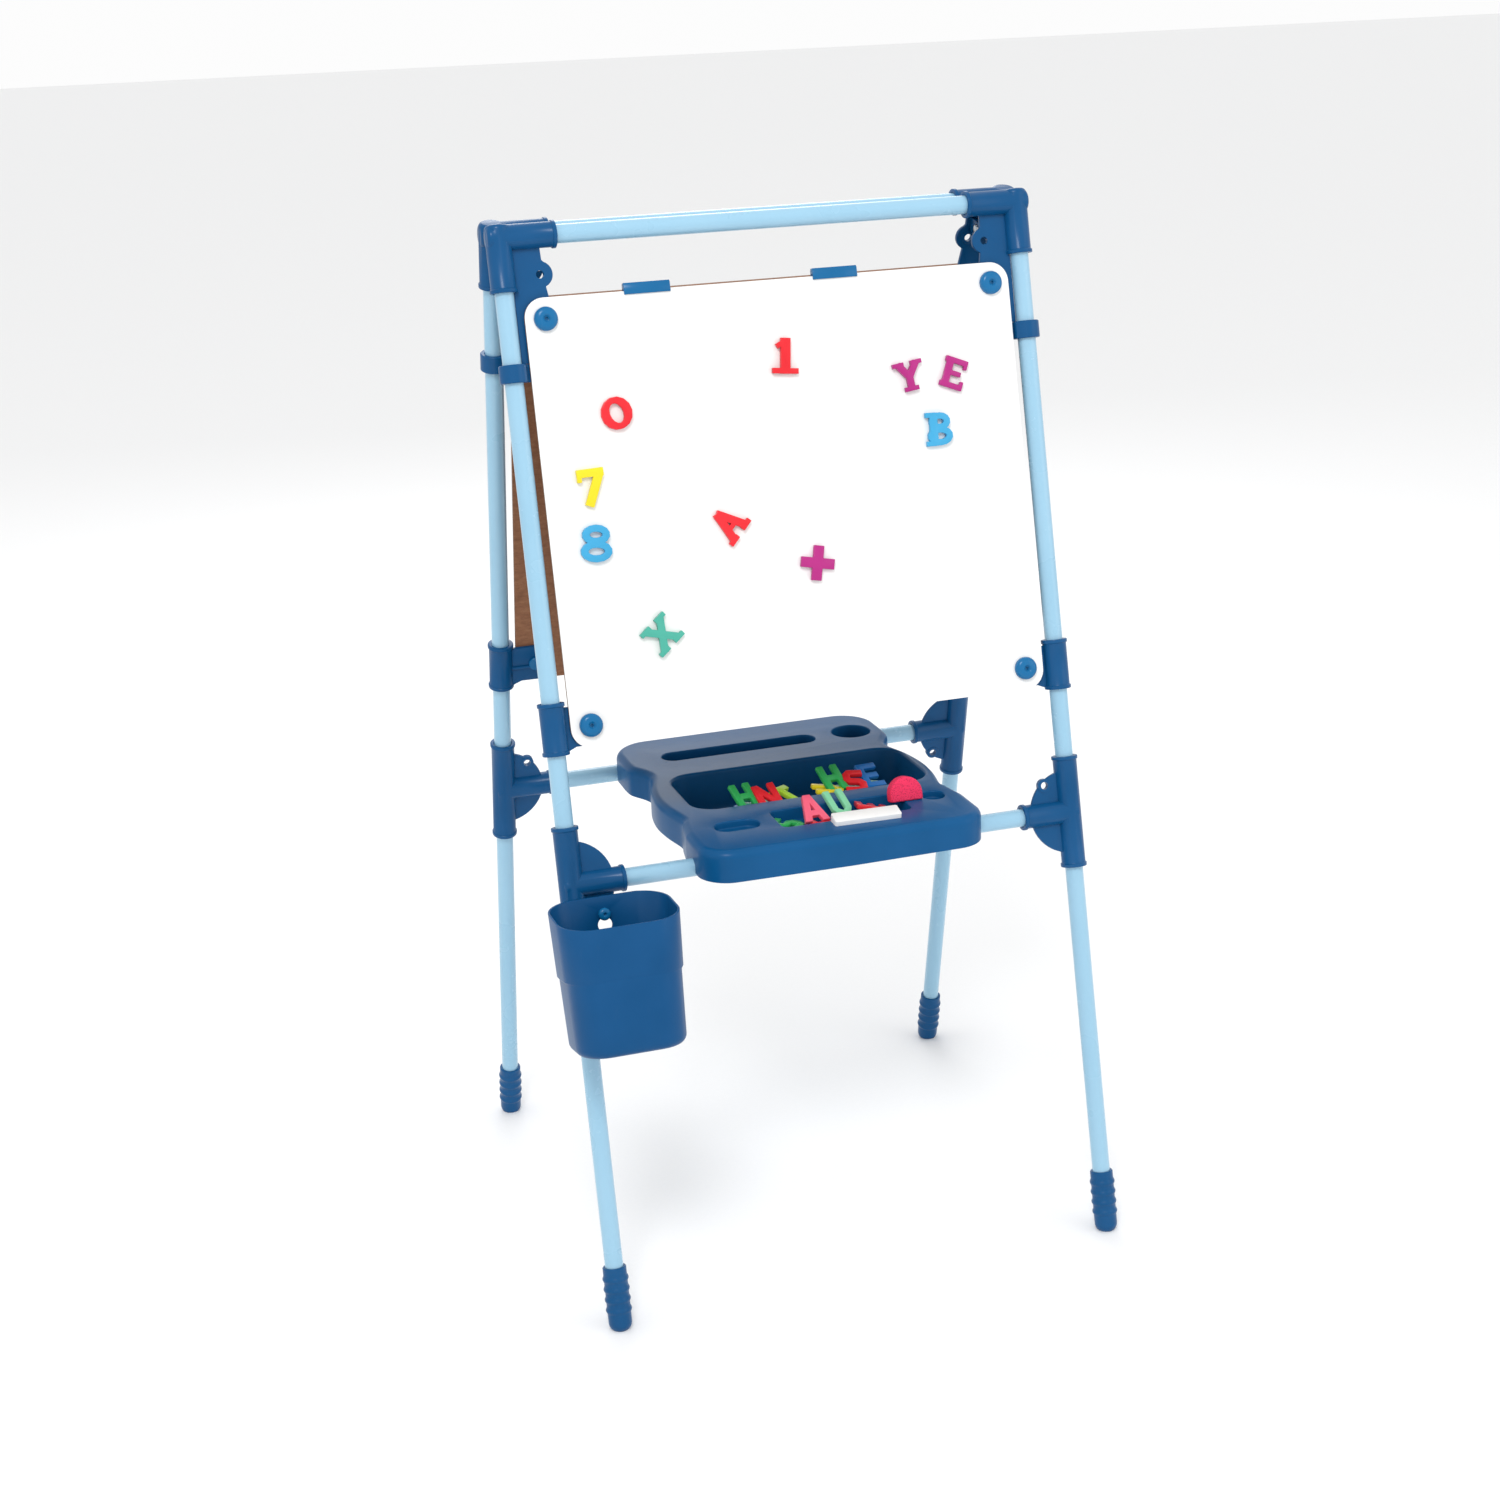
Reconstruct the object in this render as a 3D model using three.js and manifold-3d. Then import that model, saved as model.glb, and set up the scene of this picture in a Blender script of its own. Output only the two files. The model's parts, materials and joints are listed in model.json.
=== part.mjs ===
// A folding double-sided kids easel: tube frames, moulded fittings, two boards, a tray and a bucket.
// Millimetres, +Z up. The origin is on the floor, midway between the four feet.
import * as THREE from "three";
import { mergeVertices } from "three/addons/utils/BufferGeometryUtils.js";
import Module from "manifold-3d";

// ---- Driving sizes: the frame ----
const legSpacing = 550; // between the left and right leg axes
const railHeight = 1081.5; // top rail axis above the floor
const lean = 12.87; // degrees, each frame from the vertical when open
const railGap = 3; // between the front and rear elbows' flanges
const tubeRadius = 9.5;
const tubeWall = 1;
const gap = 0.3; // between faces that touch
const crossTubeBelowBoard = 136.5; // cross tube axis below the board's edge, along the leg
const pivotDrop = 28; // fold pivot below the rail axes

// ---- Driving sizes: the fittings ----
const socketWall = 3;
const flangeRise = 1.2; // flange beyond the socket's wall
const flangeWidth = 4;
const tubeStop = 4.5; // tube end beyond the crossing tube's wall
const teeStop = 5.5; // half the wall between a tee's leg tubes
const plateThickness = 4.5;
const elbowSocketLeg = 54;
const elbowSocketRail = 57;
const collarBelowKnob = 42;
const collarLength = 18;
const bracketAboveEdge = 49; // bracket's top above the board's lower edge
const bracketLength = 53;
const platePastKnob = 10;
const plateFromEnd = 6; // bracket plate's edge from the sleeve's end
const plateChamfer = 4.5;
const teeAbove = 60;
const teeBelow = 60;
const teeSocketCross = 55.5;
const teeWebRadius = 45;
const teeHoleUp = 31;
const teeHoleIn = 27;
const lobeIn = 38;
const lobeDown = 38;
const lobeRadius = 13;
const lobeHoleRadius = 4;
const lobeNeck = 3; // the web's edge beyond the lobe's centre, above it
const lobeTurn = Math.PI * 0.62; // where the lobe's round starts
const webPastKnob = { inward: 8, outward: 9, down: 14 };
const webBelowBoardTop = 5;
const tailSlope = 12;
const footLength = 66;
const footBore = 44;
const footTipDrop = 4; // cut away by the floor
const footWall = 2.4;
const footRibRise = 1.4;
const footRibPitch = 11;
const hingePinRadius = 3;
const hingeEarRadius = 8;
const hingeEarThickness = 6;
const hingeEarIn = 24;
const earGap = 0.5; // between the two ears of a hinge
const pinHeadRadius = 5.5;
const pinHeadHeight = 2.5;

// ---- Driving sizes: boards, knobs and clips ----
const boardSideGap = 3; // between the board's edge and the legs' flanges
const boardTop = 61;
const boardBottom = 509;
const boardCorner = 20;
const chalkboardDrop = 8; // its upper edge below the white board's
const backingThickness = 3;
const faceThickness = 1;
const knobIn = 37.6; // knob axis from the leg axis
const upperKnobInset = 21; // below the board's upper edge
const lowerKnobInset = 22.5; // above the board's lower edge
const knobHeadRadius = 12;
const knobHeadHeight = 7.5;
const knobShaftRadius = 2.6;
const knobNutRadius = 7.5;
const knobNutHeight = 3;
const clipLength = 48;
const clipSheet = 1.6;
const clipGrip = 3.5;
const clipCap = 8;
const clipShares = [-0.509, 0.262]; // of half the board's width
const magnetHeight = 36;
const magnetThickness = 5;

// ---- Driving sizes: the tray ----
const trayCentre = 8;
const trayHalfWidth = 155;
const trayFrontReach = 52; // past the front cross tube's axis
const trayRearReach = 17; // past the rear cross tube's axis
const trayDeckRise = 30; // deck above the cross tubes' axes
const traySkirtDrop = 3.5; // skirt below the cross tubes' axes
const trayWall = 3;
const basinDepth = 46;
const basinSide = 21; // between the basin's side and the tray's widest outline
const basinFromFront = 79.3; // basin's front behind the front cross tube
const basinFromRear = 121.3; // basin's rear ahead of the rear cross tube
const basinDraft = 10;
const basinShift = 8; // across, from the tray's middle
const basinCorner = 26;
const trayRearCorner = 42;
const trayFrontCorner = 34;
const pocketWall = 2.5;
// Pockets in the deck: how far from the tray's left or right side, how far behind the front cross
// tube or ahead of the rear one, corner radius and depth.
const slotPocket = { left: 42, right: 83, rear: [72.3, 40.3], corner: 15.9, depth: 20 };
const cupPocket = { right: 39, rear: 52.3, radius: 24, depth: 28 };
const leftPocket = { left: [30, 82], front: [6.3, 37.3], corner: 15.4, depth: 8 };
const rightPocket = { right: [48, 20], front: [12.3, 42.3], corner: 13.9, depth: 8 };
const middlePocket = { left: 97, right: 67, front: [-4.7, 49.3], corner: 9, depth: 14 };
const trayRibAt = [-70, 70];
const trayRibHalf = 1.5;
const trayRibToBasin = [38, 86]; // front and rear ribs from the basin
const notchReach = 26;

// ---- Driving sizes: the bucket ----
const bucketWidth = 126;
const bucketDepth = 96;
const bucketRimAboveKnob = 18.5;
const bucketBeltBelowRim = 70;
const bucketHeight = 146;
const bucketRimLean = 10; // degrees; a level rim would lean as the legs do
const bucketTaper = 5;
const bucketWall = 2.2;
const bucketStep = 2; // how far its wall steps in below the belt
const bucketSlotRoom = 0.6; // round the knob's shaft
const bucketCorner = 34;
const bucketKnobRadius = 6.5;
const bucketLift = 11; // how far it lifts to come off its knob

// ---- Worked-out places ----
const tilt = THREE.MathUtils.degToRad(lean);
const legX = legSpacing / 2;
const legLength = railHeight / Math.cos(tilt);
const bore = tubeRadius + gap;
const socketRadius = bore + socketWall;
const flangeRadius = socketRadius + flangeRise;
const tubeEnd = tubeRadius + tubeStop;
const railSpacing = 2 * flangeRadius + railGap;
const boardWidth = legSpacing - 2 * (flangeRadius + boardSideGap);
const crossTubeDown = boardBottom + crossTubeBelowBoard;
const upperKnobDown = boardTop + upperKnobInset;
const lowerKnobDown = boardBottom - lowerKnobInset;
const collarTop = upperKnobDown + collarBelowKnob;
const bracketTop = boardBottom - bracketAboveEdge;
const tailIn = [flangeRadius + 3.5, bore + 1.2]; // the elbow's tail and the collar's tab
const tailEdge = bore + 0.4; // the tail's edge along the leg tube
const footTipRound = bore + footWall - 1.2;
const earPitch = hingeEarThickness + earGap;
const crossY = railSpacing / 2 + crossTubeDown * Math.sin(tilt);
const crossZ = railHeight - crossTubeDown * Math.cos(tilt);
const plateFront = gap;
const plateY = [plateFront, plateFront + plateThickness];
const knobHole = knobShaftRadius + gap;
const holeReach = [-5, 10]; // how far a cross hole is cut
const overlap = 1; // how far joined bodies reach into each other
const boardFront = -(backingThickness + gap + faceThickness);
const pivotIn = (railSpacing / 2) * Math.cos(tilt) + pivotDrop * Math.sin(tilt);
const pivotDown = pivotDrop * Math.cos(tilt) - (railSpacing / 2) * Math.sin(tilt);
const bucketX = -legX + teeHoleIn;
const bucketKnobDown = crossTubeDown + teeHoleUp;
const bucketBack = -(flangeRadius + gap);
const bucketRimDown = bucketKnobDown - bucketRimAboveKnob;
const bucketBeltDown = bucketRimDown + bucketBeltBelowRim;
const bucketBottomDown = bucketRimDown + bucketHeight;
const knobPlaces = [-1, 1].flatMap((side) => [
  [side * (legX - knobIn), upperKnobDown],
  [side * (legX - knobIn), lowerKnobDown],
]);

// ---- Colours ----
const paint = (color, roughness, metalness = 0) =>
  new THREE.MeshStandardMaterial({ color, roughness, metalness });
const tubePaint = paint(0xa8d8ec, 0.35, 0.1);
const bluePlastic = paint(0x0e4f8f, 0.4);
const whiteFace = paint(0xf6f7f8, 0.2);
const hardboard = paint(0x9a6243, 0.75);
const clipPlastic = paint(0x1b6fae, 0.4);
const steel = paint(0xb9bcc0, 0.35, 0.9);

// ---- Joining and cutting ----
const wasm = await Module();
wasm.setup();

function toSolid(geometry) {
  const bare = geometry.clone();
  bare.deleteAttribute("normal");
  bare.deleteAttribute("uv");
  const merged = mergeVertices(bare, 1e-4);
  return new wasm.Manifold(
    new wasm.Mesh({
      numProp: 3,
      vertProperties: merged.getAttribute("position").array,
      triVerts: new Uint32Array(merged.index.array),
    }),
  );
}

function toGeometry(solid) {
  const mesh = solid.getMesh();
  const geometry = new THREE.BufferGeometry();
  geometry.setAttribute("position", new THREE.BufferAttribute(mesh.vertProperties, 3));
  geometry.setIndex(new THREE.BufferAttribute(mesh.triVerts, 1));
  const flat = geometry.toNonIndexed();
  flat.computeVertexNormals();
  return flat;
}

const join = (...bodies) => toGeometry(bodies.map(toSolid).reduce((all, one) => all.add(one)));
const cut = (body, ...tools) =>
  toGeometry(tools.map(toSolid).reduce((left, tool) => left.subtract(tool), toSolid(body)));

// ---- Simple bodies ----
const sides = 16;

function box(x, y, z) {
  const body = new THREE.BoxGeometry(x[1] - x[0], y[1] - y[0], z[1] - z[0]);
  return body.translate((x[0] + x[1]) / 2, (y[0] + y[1]) / 2, (z[0] + z[1]) / 2);
}

function rodZ(radius, z, x = 0, y = 0, count = sides) {
  const body = new THREE.CylinderGeometry(radius, radius, z[1] - z[0], count).rotateX(Math.PI / 2);
  return body.translate(x, y, (z[0] + z[1]) / 2);
}

function rodX(radius, x, y = 0, z = 0, count = sides) {
  const body = new THREE.CylinderGeometry(radius, radius, x[1] - x[0], count).rotateZ(Math.PI / 2);
  return body.translate((x[0] + x[1]) / 2, y, z);
}

function rodY(radius, y, x = 0, z = 0, count = sides) {
  const body = new THREE.CylinderGeometry(radius, radius, y[1] - y[0], count);
  return body.translate(x, (y[0] + y[1]) / 2, z);
}

const extrude = (shape, depth, curveSegments) =>
  new THREE.ExtrudeGeometry(shape, { depth, bevelEnabled: false, curveSegments });

// A shape drawn in X and Z, as thick as y[0] to y[1].
const plateXZ = (shape, y, curveSegments = 5) =>
  extrude(shape, y[1] - y[0], curveSegments).rotateX(Math.PI / 2).translate(0, y[1], 0);

// A shape drawn in Y and Z, as thick as x[0] to x[1].
function plateYZ(shape, x, curveSegments = 6) {
  const turn = new THREE.Matrix4().makeBasis(
    new THREE.Vector3(0, 1, 0),
    new THREE.Vector3(0, 0, 1),
    new THREE.Vector3(1, 0, 0),
  );
  return extrude(shape, x[1] - x[0], curveSegments).applyMatrix4(turn).translate(x[0], 0, 0);
}

const plateXY = (shape, z) => extrude(shape, z[1] - z[0], 4).translate(0, 0, z[0]);

// A profile of [radius, height] pairs turned about Z, going up on its outside.
const turned = (profile, count = sides) =>
  new THREE.LatheGeometry(profile.map(([r, z]) => new THREE.Vector2(r, z)), count).rotateX(
    Math.PI / 2,
  );

// Rings of equal point counts, bottom to top, each anticlockwise from above, as one closed body.
function stack(rings) {
  const count = rings[0].length;
  const points = rings.flat();
  const faces = [];
  for (let level = 0; level + 1 < rings.length; level++) {
    for (let i = 0; i < count; i++) {
      const a = level * count + i;
      const b = level * count + ((i + 1) % count);
      faces.push(a, b, b + count, a, b + count, a + count);
    }
  }
  const cap = (ring) =>
    THREE.ShapeUtils.triangulateShape(ring.map((p) => new THREE.Vector2(p.x, p.y)), []);
  const top = (rings.length - 1) * count;
  for (const [a, b, c] of cap(rings[0])) faces.push(a, c, b);
  for (const [a, b, c] of cap(rings.at(-1))) faces.push(top + a, top + b, top + c);
  const body = new THREE.BufferGeometry().setFromPoints(points);
  body.setIndex(faces);
  return body.toNonIndexed();
}

function roundedRect(x0, x1, y0, y1, radius) {
  const shape = new THREE.Shape();
  shape.absarc(x1 - radius, y0 + radius, radius, -Math.PI / 2, 0);
  shape.absarc(x1 - radius, y1 - radius, radius, 0, Math.PI / 2);
  shape.absarc(x0 + radius, y1 - radius, radius, Math.PI / 2, Math.PI);
  shape.absarc(x0 + radius, y0 + radius, radius, Math.PI, Math.PI * 1.5);
  shape.closePath();
  return shape;
}

function ringPoints(shape, divisions) {
  const points = shape.extractPoints(divisions).shape;
  const last = points.at(-1);
  return last.distanceTo(points[0]) < 1e-6 ? points.slice(0, -1) : points;
}

// A ring moved inwards by a distance, at a height.
function ringAt(points, inward, z) {
  const count = points.length;
  return points.map((point, i) => {
    const before = points[(i + count - 1) % count];
    const after = points[(i + 1) % count];
    const along = after.clone().sub(before).normalize();
    return new THREE.Vector3(point.x - along.y * inward, point.y + along.x * inward, z);
  });
}

// ---- The assembly ----
const easel = new THREE.Group();

function add(parent, name, geometry, material) {
  const mesh = new THREE.Mesh(geometry, material);
  mesh.name = name;
  parent.add(mesh);
  return mesh;
}

// Each frame is drawn upright: X across, -Y to its outside, -Z down the leg from the rail axis.
function leaningGroup(turn) {
  const group = new THREE.Group();
  group.position.set(0, railSpacing / -2, railHeight);
  group.rotation.x = -tilt;
  const side = new THREE.Group();
  side.rotation.z = turn;
  side.add(group);
  easel.add(side);
  return group;
}

function tubeZ(x, z) {
  return cut(rodZ(tubeRadius, z, x), rodZ(tubeRadius - tubeWall, [z[0] - 1, z[1] + 1], x));
}

function tubeX(x, z) {
  return cut(rodX(tubeRadius, x, 0, z), rodX(tubeRadius - tubeWall, [x[0] - 1, x[1] + 1], 0, z));
}

// Fittings are drawn on the right-hand leg, whose inside is towards -X, and mirrored for the left.
function mirrored(geometry, side) {
  if (side > 0) return geometry;
  const flipped = geometry.clone().scale(-1, 1, 1);
  const position = flipped.getAttribute("position");
  for (let i = 0; i < position.count; i += 3) {
    const a = new THREE.Vector3().fromBufferAttribute(position, i + 1);
    const b = new THREE.Vector3().fromBufferAttribute(position, i + 2);
    position.setXYZ(i + 1, b.x, b.y, b.z);
    position.setXYZ(i + 2, a.x, a.y, a.z);
  }
  flipped.computeVertexNormals();
  return flipped;
}

const inside = (inward) => legX - inward;

function elbowWebShape() {
  const shape = new THREE.Shape();
  const bottom = upperKnobDown + webPastKnob.down;
  shape.moveTo(inside(tubeRadius), 0);
  shape.lineTo(inside(lobeIn + lobeNeck - 1), 0);
  shape.lineTo(inside(lobeIn + lobeNeck), -(lobeDown - lobeRadius - 1));
  shape.absarc(inside(lobeIn), -lobeDown, lobeRadius, lobeTurn, Math.PI * 2 - lobeTurn);
  shape.lineTo(inside(knobIn + webPastKnob.inward), -(boardTop + webBelowBoardTop));
  shape.lineTo(inside(knobIn + webPastKnob.inward), -bottom);
  shape.lineTo(inside(knobIn - webPastKnob.outward), -bottom);
  shape.lineTo(inside(tailIn[0]), -(bottom + tailSlope));
  shape.lineTo(inside(tailIn[0]), -(collarTop - gap));
  shape.lineTo(inside(tailEdge), -(collarTop - gap));
  shape.lineTo(inside(tailEdge), -elbowSocketLeg + overlap);
  shape.lineTo(inside(tubeRadius), -elbowSocketLeg + overlap);
  return shape;
}

function hingeEar(inward) {
  const shape = new THREE.Shape();
  const rise = hingeEarRadius;
  shape.moveTo(overlap, -pivotDown - rise);
  shape.lineTo(pivotIn, -pivotDown - rise);
  shape.absarc(pivotIn, -pivotDown, rise, -Math.PI / 2, Math.PI / 2);
  shape.lineTo(overlap, -pivotDown + rise);
  return plateYZ(shape, [inside(inward + hingeEarThickness), inside(inward)]);
}

function elbow(earInward) {
  const web = plateXZ(elbowWebShape(), plateY);
  const pinWay = [inside(hingeEarIn + 2 * earPitch), inside(flangeRadius + 1)];
  const body = join(
    rodZ(socketRadius, [-elbowSocketLeg, 0], legX),
    rodX(socketRadius, [inside(elbowSocketRail), legX]),
    new THREE.SphereGeometry(socketRadius, sides, 8).rotateX(Math.PI / 2).translate(legX, 0, 0),
    rodZ(flangeRadius, [-elbowSocketLeg, flangeWidth - elbowSocketLeg], legX),
    rodX(flangeRadius, [inside(elbowSocketRail), inside(elbowSocketRail - flangeWidth)]),
    web,
    hingeEar(earInward),
  );
  return cut(
    body,
    rodZ(bore, [-elbowSocketLeg - 1, -tubeEnd], legX),
    rodX(bore, [inside(elbowSocketRail + 1), inside(tubeEnd)]),
    rodY(lobeHoleRadius, holeReach, inside(lobeIn), -lobeDown),
    rodY(knobHole, holeReach, inside(knobIn), -upperKnobDown),
    rodX(hingePinRadius + gap, pinWay, pivotIn, -pivotDown),
  );
}

function collar() {
  const z = [-collarTop - collarLength, -collarTop];
  const tab = box(tailIn.map(inside), plateY, z);
  return cut(
    join(rodZ(flangeRadius, z, legX), tab),
    rodZ(bore, [z[0] - 1, z[1] + 1], legX),
  );
}

function boardBracket() {
  const z = [-bracketTop - bracketLength, -bracketTop];
  const far = inside(knobIn + platePastKnob);
  const plate = new THREE.Shape();
  plate.moveTo(inside(tailIn[1]), z[1] - plateFromEnd);
  plate.lineTo(far, z[1] - plateFromEnd);
  plate.lineTo(far, z[0] + plateFromEnd);
  plate.lineTo(inside(tailIn[0] + plateChamfer), z[0] + plateFromEnd);
  plate.lineTo(inside(tailIn[1]), z[0] + overlap);
  const body = join(
    rodZ(socketRadius, z, legX),
    rodZ(flangeRadius, [z[0], z[0] + flangeWidth], legX),
    rodZ(flangeRadius, [z[1] - flangeWidth, z[1]], legX),
    plateXZ(plate, plateY),
  );
  return cut(
    body,
    rodZ(bore, [z[0] - 1, z[1] + 1], legX),
    rodY(knobHole, holeReach, inside(knobIn), -lowerKnobDown),
  );
}

function tee(holeSide) {
  const z = [-crossTubeDown - teeBelow, -crossTubeDown + teeAbove];
  const middle = -crossTubeDown;
  const disc = new THREE.Shape();
  disc.absarc(legX, middle, teeWebRadius, Math.PI / 2, Math.PI * 1.5);
  const body = join(
    rodZ(socketRadius, z, legX),
    rodZ(flangeRadius, [z[0], z[0] + flangeWidth], legX),
    rodZ(flangeRadius, [z[1] - flangeWidth, z[1]], legX),
    rodX(socketRadius, [inside(teeSocketCross), legX], 0, middle),
    rodX(flangeRadius, [inside(teeSocketCross), inside(teeSocketCross - flangeWidth)], 0, middle),
    plateXZ(disc, [-plateThickness / 2, plateThickness / 2]),
  );
  return cut(
    body,
    rodZ(bore, [middle + teeStop, z[1] + 1], legX),
    rodZ(bore, [z[0] - 1, middle - teeStop], legX),
    rodX(bore, [inside(teeSocketCross + 1), inside(tubeEnd)], 0, middle),
    rodY(lobeHoleRadius, holeReach, inside(teeHoleIn), middle + holeSide * teeHoleUp),
  );
}

function foot() {
  const top = -legLength + footLength;
  const tip = -legLength - footTipDrop;
  const side = bore + footWall;
  const rib = (down) => [
    [side, top - down - 4],
    [side + footRibRise, top - down - 3],
    [side + footRibRise, top - down + 1],
  ];
  const tipArc = [24, 48, 72].map((deg) => {
    const turn = THREE.MathUtils.degToRad(deg);
    return [footTipRound * Math.sin(turn) + 1, tip + footTipRound * (1 - Math.cos(turn))];
  });
  const profile = [
    [0, tip],
    ...tipArc,
    [side + 0.3, tip + footTipRound],
    ...[4, 3, 2, 1].flatMap((count) => rib(count * footRibPitch)),
    [side + 0.3, top],
    [0, top],
  ];
  const floor = box([-40, 40], [-40, 40], [-60, 0]).rotateX(tilt).translate(0, 0, -legLength);
  const body = cut(turned(profile), rodZ(bore, [top - footBore, top + 1]), floor);
  return body.translate(legX, 0, 0);
}

const footBoreDown = legLength - footLength + footBore;

function knob(x, down) {
  const front = boardFront - gap;
  const nut = plateFront + plateThickness + gap;
  const head = knobNutHeight + nut - front;
  const profile = [
    [0, 0],
    [knobNutRadius, 0],
    [knobNutRadius, knobNutHeight],
    [knobShaftRadius, knobNutHeight],
    [knobShaftRadius, head],
    [knobHeadRadius, head],
    [knobHeadRadius, head + knobHeadHeight / 3],
    [knobHeadRadius - 2, head + knobHeadHeight * 0.67],
    [knobHeadRadius - 5, head + knobHeadHeight],
    [3.2, head + knobHeadHeight],
    [2.4, head + knobHeadHeight - 2],
    [0, head + knobHeadHeight - 2],
  ];
  return turned(profile, 12).rotateX(Math.PI / 2).translate(x, nut + knobNutHeight, -down);
}

function boardShape(top) {
  const half = boardWidth / 2;
  const shape = roundedRect(-half, half, -boardBottom, -top, boardCorner);
  for (const [x, down] of knobPlaces) {
    const hole = new THREE.Path();
    hole.absarc(x, -down, knobHole, 0, Math.PI * 2, true);
    shape.holes.push(hole);
  }
  return shape;
}

function whiteboard(group) {
  const face = [boardFront, boardFront + faceThickness];
  add(group, "whiteboard_backing", plateXZ(boardShape(boardTop), [-backingThickness, 0]), hardboard);
  add(group, "whiteboard_panel", plateXZ(boardShape(boardTop), face), whiteFace);
}

function chalkboard(group) {
  const sheet = plateXZ(boardShape(boardTop + chalkboardDrop), [boardFront, 0]);
  add(group, "chalkboard_panel", sheet, hardboard);
}

function buildFrame(prefix, turn, earInward) {
  const group = leaningGroup(turn);
  const sideName = (side) => (side * Math.cos(turn) < 0 ? "left" : "right");
  const railHalf = inside(tubeEnd + gap);
  add(group, `${prefix}_top_rail`, tubeX([-railHalf, railHalf], 0), tubePaint);
  add(group, `${prefix}_cross_tube`, tubeX([-railHalf, railHalf], -crossTubeDown), tubePaint);
  const teeWall = teeStop + gap;
  for (const side of [-1, 1]) {
    const name = (piece) => `${prefix}_${sideName(side)}_${piece}`;
    const x = side * legX;
    const upper = [-crossTubeDown + teeWall, -tubeEnd - gap];
    const lower = [-footBoreDown + gap, -crossTubeDown - teeWall];
    add(group, name("upper_leg"), tubeZ(x, upper), tubePaint);
    add(group, name("lower_leg"), tubeZ(x, lower), tubePaint);
    add(group, name("elbow"), mirrored(elbow(earInward), side), bluePlastic);
    add(group, name("collar"), mirrored(collar(), side), bluePlastic);
    add(group, name("board_bracket"), mirrored(boardBracket(), side), bluePlastic);
    add(group, name("tee"), mirrored(tee(side), side), bluePlastic);
    add(group, name("foot"), mirrored(foot(), side), bluePlastic);
  }
  return group;
}

function addKnobs(group, board, turn) {
  for (const [x, down] of knobPlaces) {
    const across = x * Math.cos(turn) < 0 ? "left" : "right";
    const height = down === upperKnobDown ? "upper" : "lower";
    add(group, `${board}_knob_${height}_${across}`, knob(x, down), bluePlastic);
  }
}

// ---- Magnetic letters: bars and rings in a box one unit high, centred on the origin ----
const stroke = 0.24;

function letterBar(x0, y0, x1, y1, width = stroke) {
  const length = Math.hypot(x1 - x0, y1 - y0);
  const body = new THREE.BoxGeometry(length, width, 1);
  return body.rotateZ(Math.atan2(y1 - y0, x1 - x0)).translate((x0 + x1) / 2, (y0 + y1) / 2, 0);
}

function letterRing(y, radiusX, radiusY, side = stroke * 0.85) {
  const outer = new THREE.CylinderGeometry(1, 1, 1, 14).rotateX(Math.PI / 2);
  const inner = new THREE.CylinderGeometry(1, 1, 2, 14).rotateX(Math.PI / 2);
  outer.scale(radiusX, radiusY, 1);
  inner.scale(radiusX - side, radiusY - stroke * 0.8, 1);
  return cut(outer, inner).translate(0, y, 0);
}

const serif = (x, y, width = 0.4) => letterBar(x - width / 2, y, x + width / 2, y, 0.15);
const letterShapes = {
  one: () => [
    letterBar(0, -0.5, 0, 0.5, 0.28),
    serif(0, -0.42, 0.76),
    letterBar(-0.26, 0.26, 0.02, 0.43, 0.14),
  ],
  zero: () => [letterRing(0, 0.49, 0.5, 0.28)],
  seven: () => [
    letterBar(-0.36, 0.39, 0.37, 0.39, 0.22),
    letterBar(-0.12, -0.48, 0.26, 0.38),
    letterBar(-0.3, 0.5, -0.3, 0.16, 0.12),
  ],
  eight: () => [letterRing(0.23, 0.38, 0.27), letterRing(-0.21, 0.43, 0.29)],
  a: () => [
    letterBar(-0.3, -0.46, 0, 0.48),
    letterBar(0.3, -0.46, 0, 0.48),
    letterBar(-0.2, -0.12, 0.2, -0.12, 0.14),
    serif(-0.3, -0.43, 0.36),
    serif(0.3, -0.43, 0.36),
  ],
  plus: () => [letterBar(-0.5, 0, 0.5, 0, 0.3), letterBar(0, -0.5, 0, 0.5, 0.3)],
  x: () => [
    letterBar(-0.34, -0.45, 0.34, 0.45),
    letterBar(-0.34, 0.45, 0.34, -0.45),
    ...[-0.32, 0.32].flatMap((x) => [serif(x, -0.43), serif(x, 0.43)]),
  ],
  y: () => [
    letterBar(-0.34, 0.45, 0, -0.02),
    letterBar(0.34, 0.45, 0, -0.02),
    letterBar(0, 0.05, 0, -0.5),
    serif(-0.33, 0.43),
    serif(0.33, 0.43),
    serif(0, -0.43, 0.5),
  ],
  e: () => [
    letterBar(-0.22, -0.5, -0.22, 0.5),
    letterBar(-0.4, 0.41, 0.38, 0.41, 0.18),
    letterBar(-0.4, -0.41, 0.4, -0.41, 0.18),
    letterBar(-0.22, 0, 0.24, 0, 0.16),
    letterBar(0.33, 0.2, 0.33, 0.5, 0.12),
    letterBar(0.34, -0.2, 0.34, -0.5, 0.12),
  ],
  b: () => [
    letterBar(-0.2, -0.5, -0.2, 0.5),
    serif(-0.3, 0.43, 0.3),
    serif(-0.3, -0.43, 0.3),
    letterRing(0.23, 0.34, 0.27),
    letterRing(-0.21, 0.4, 0.29),
  ],
};

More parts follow.
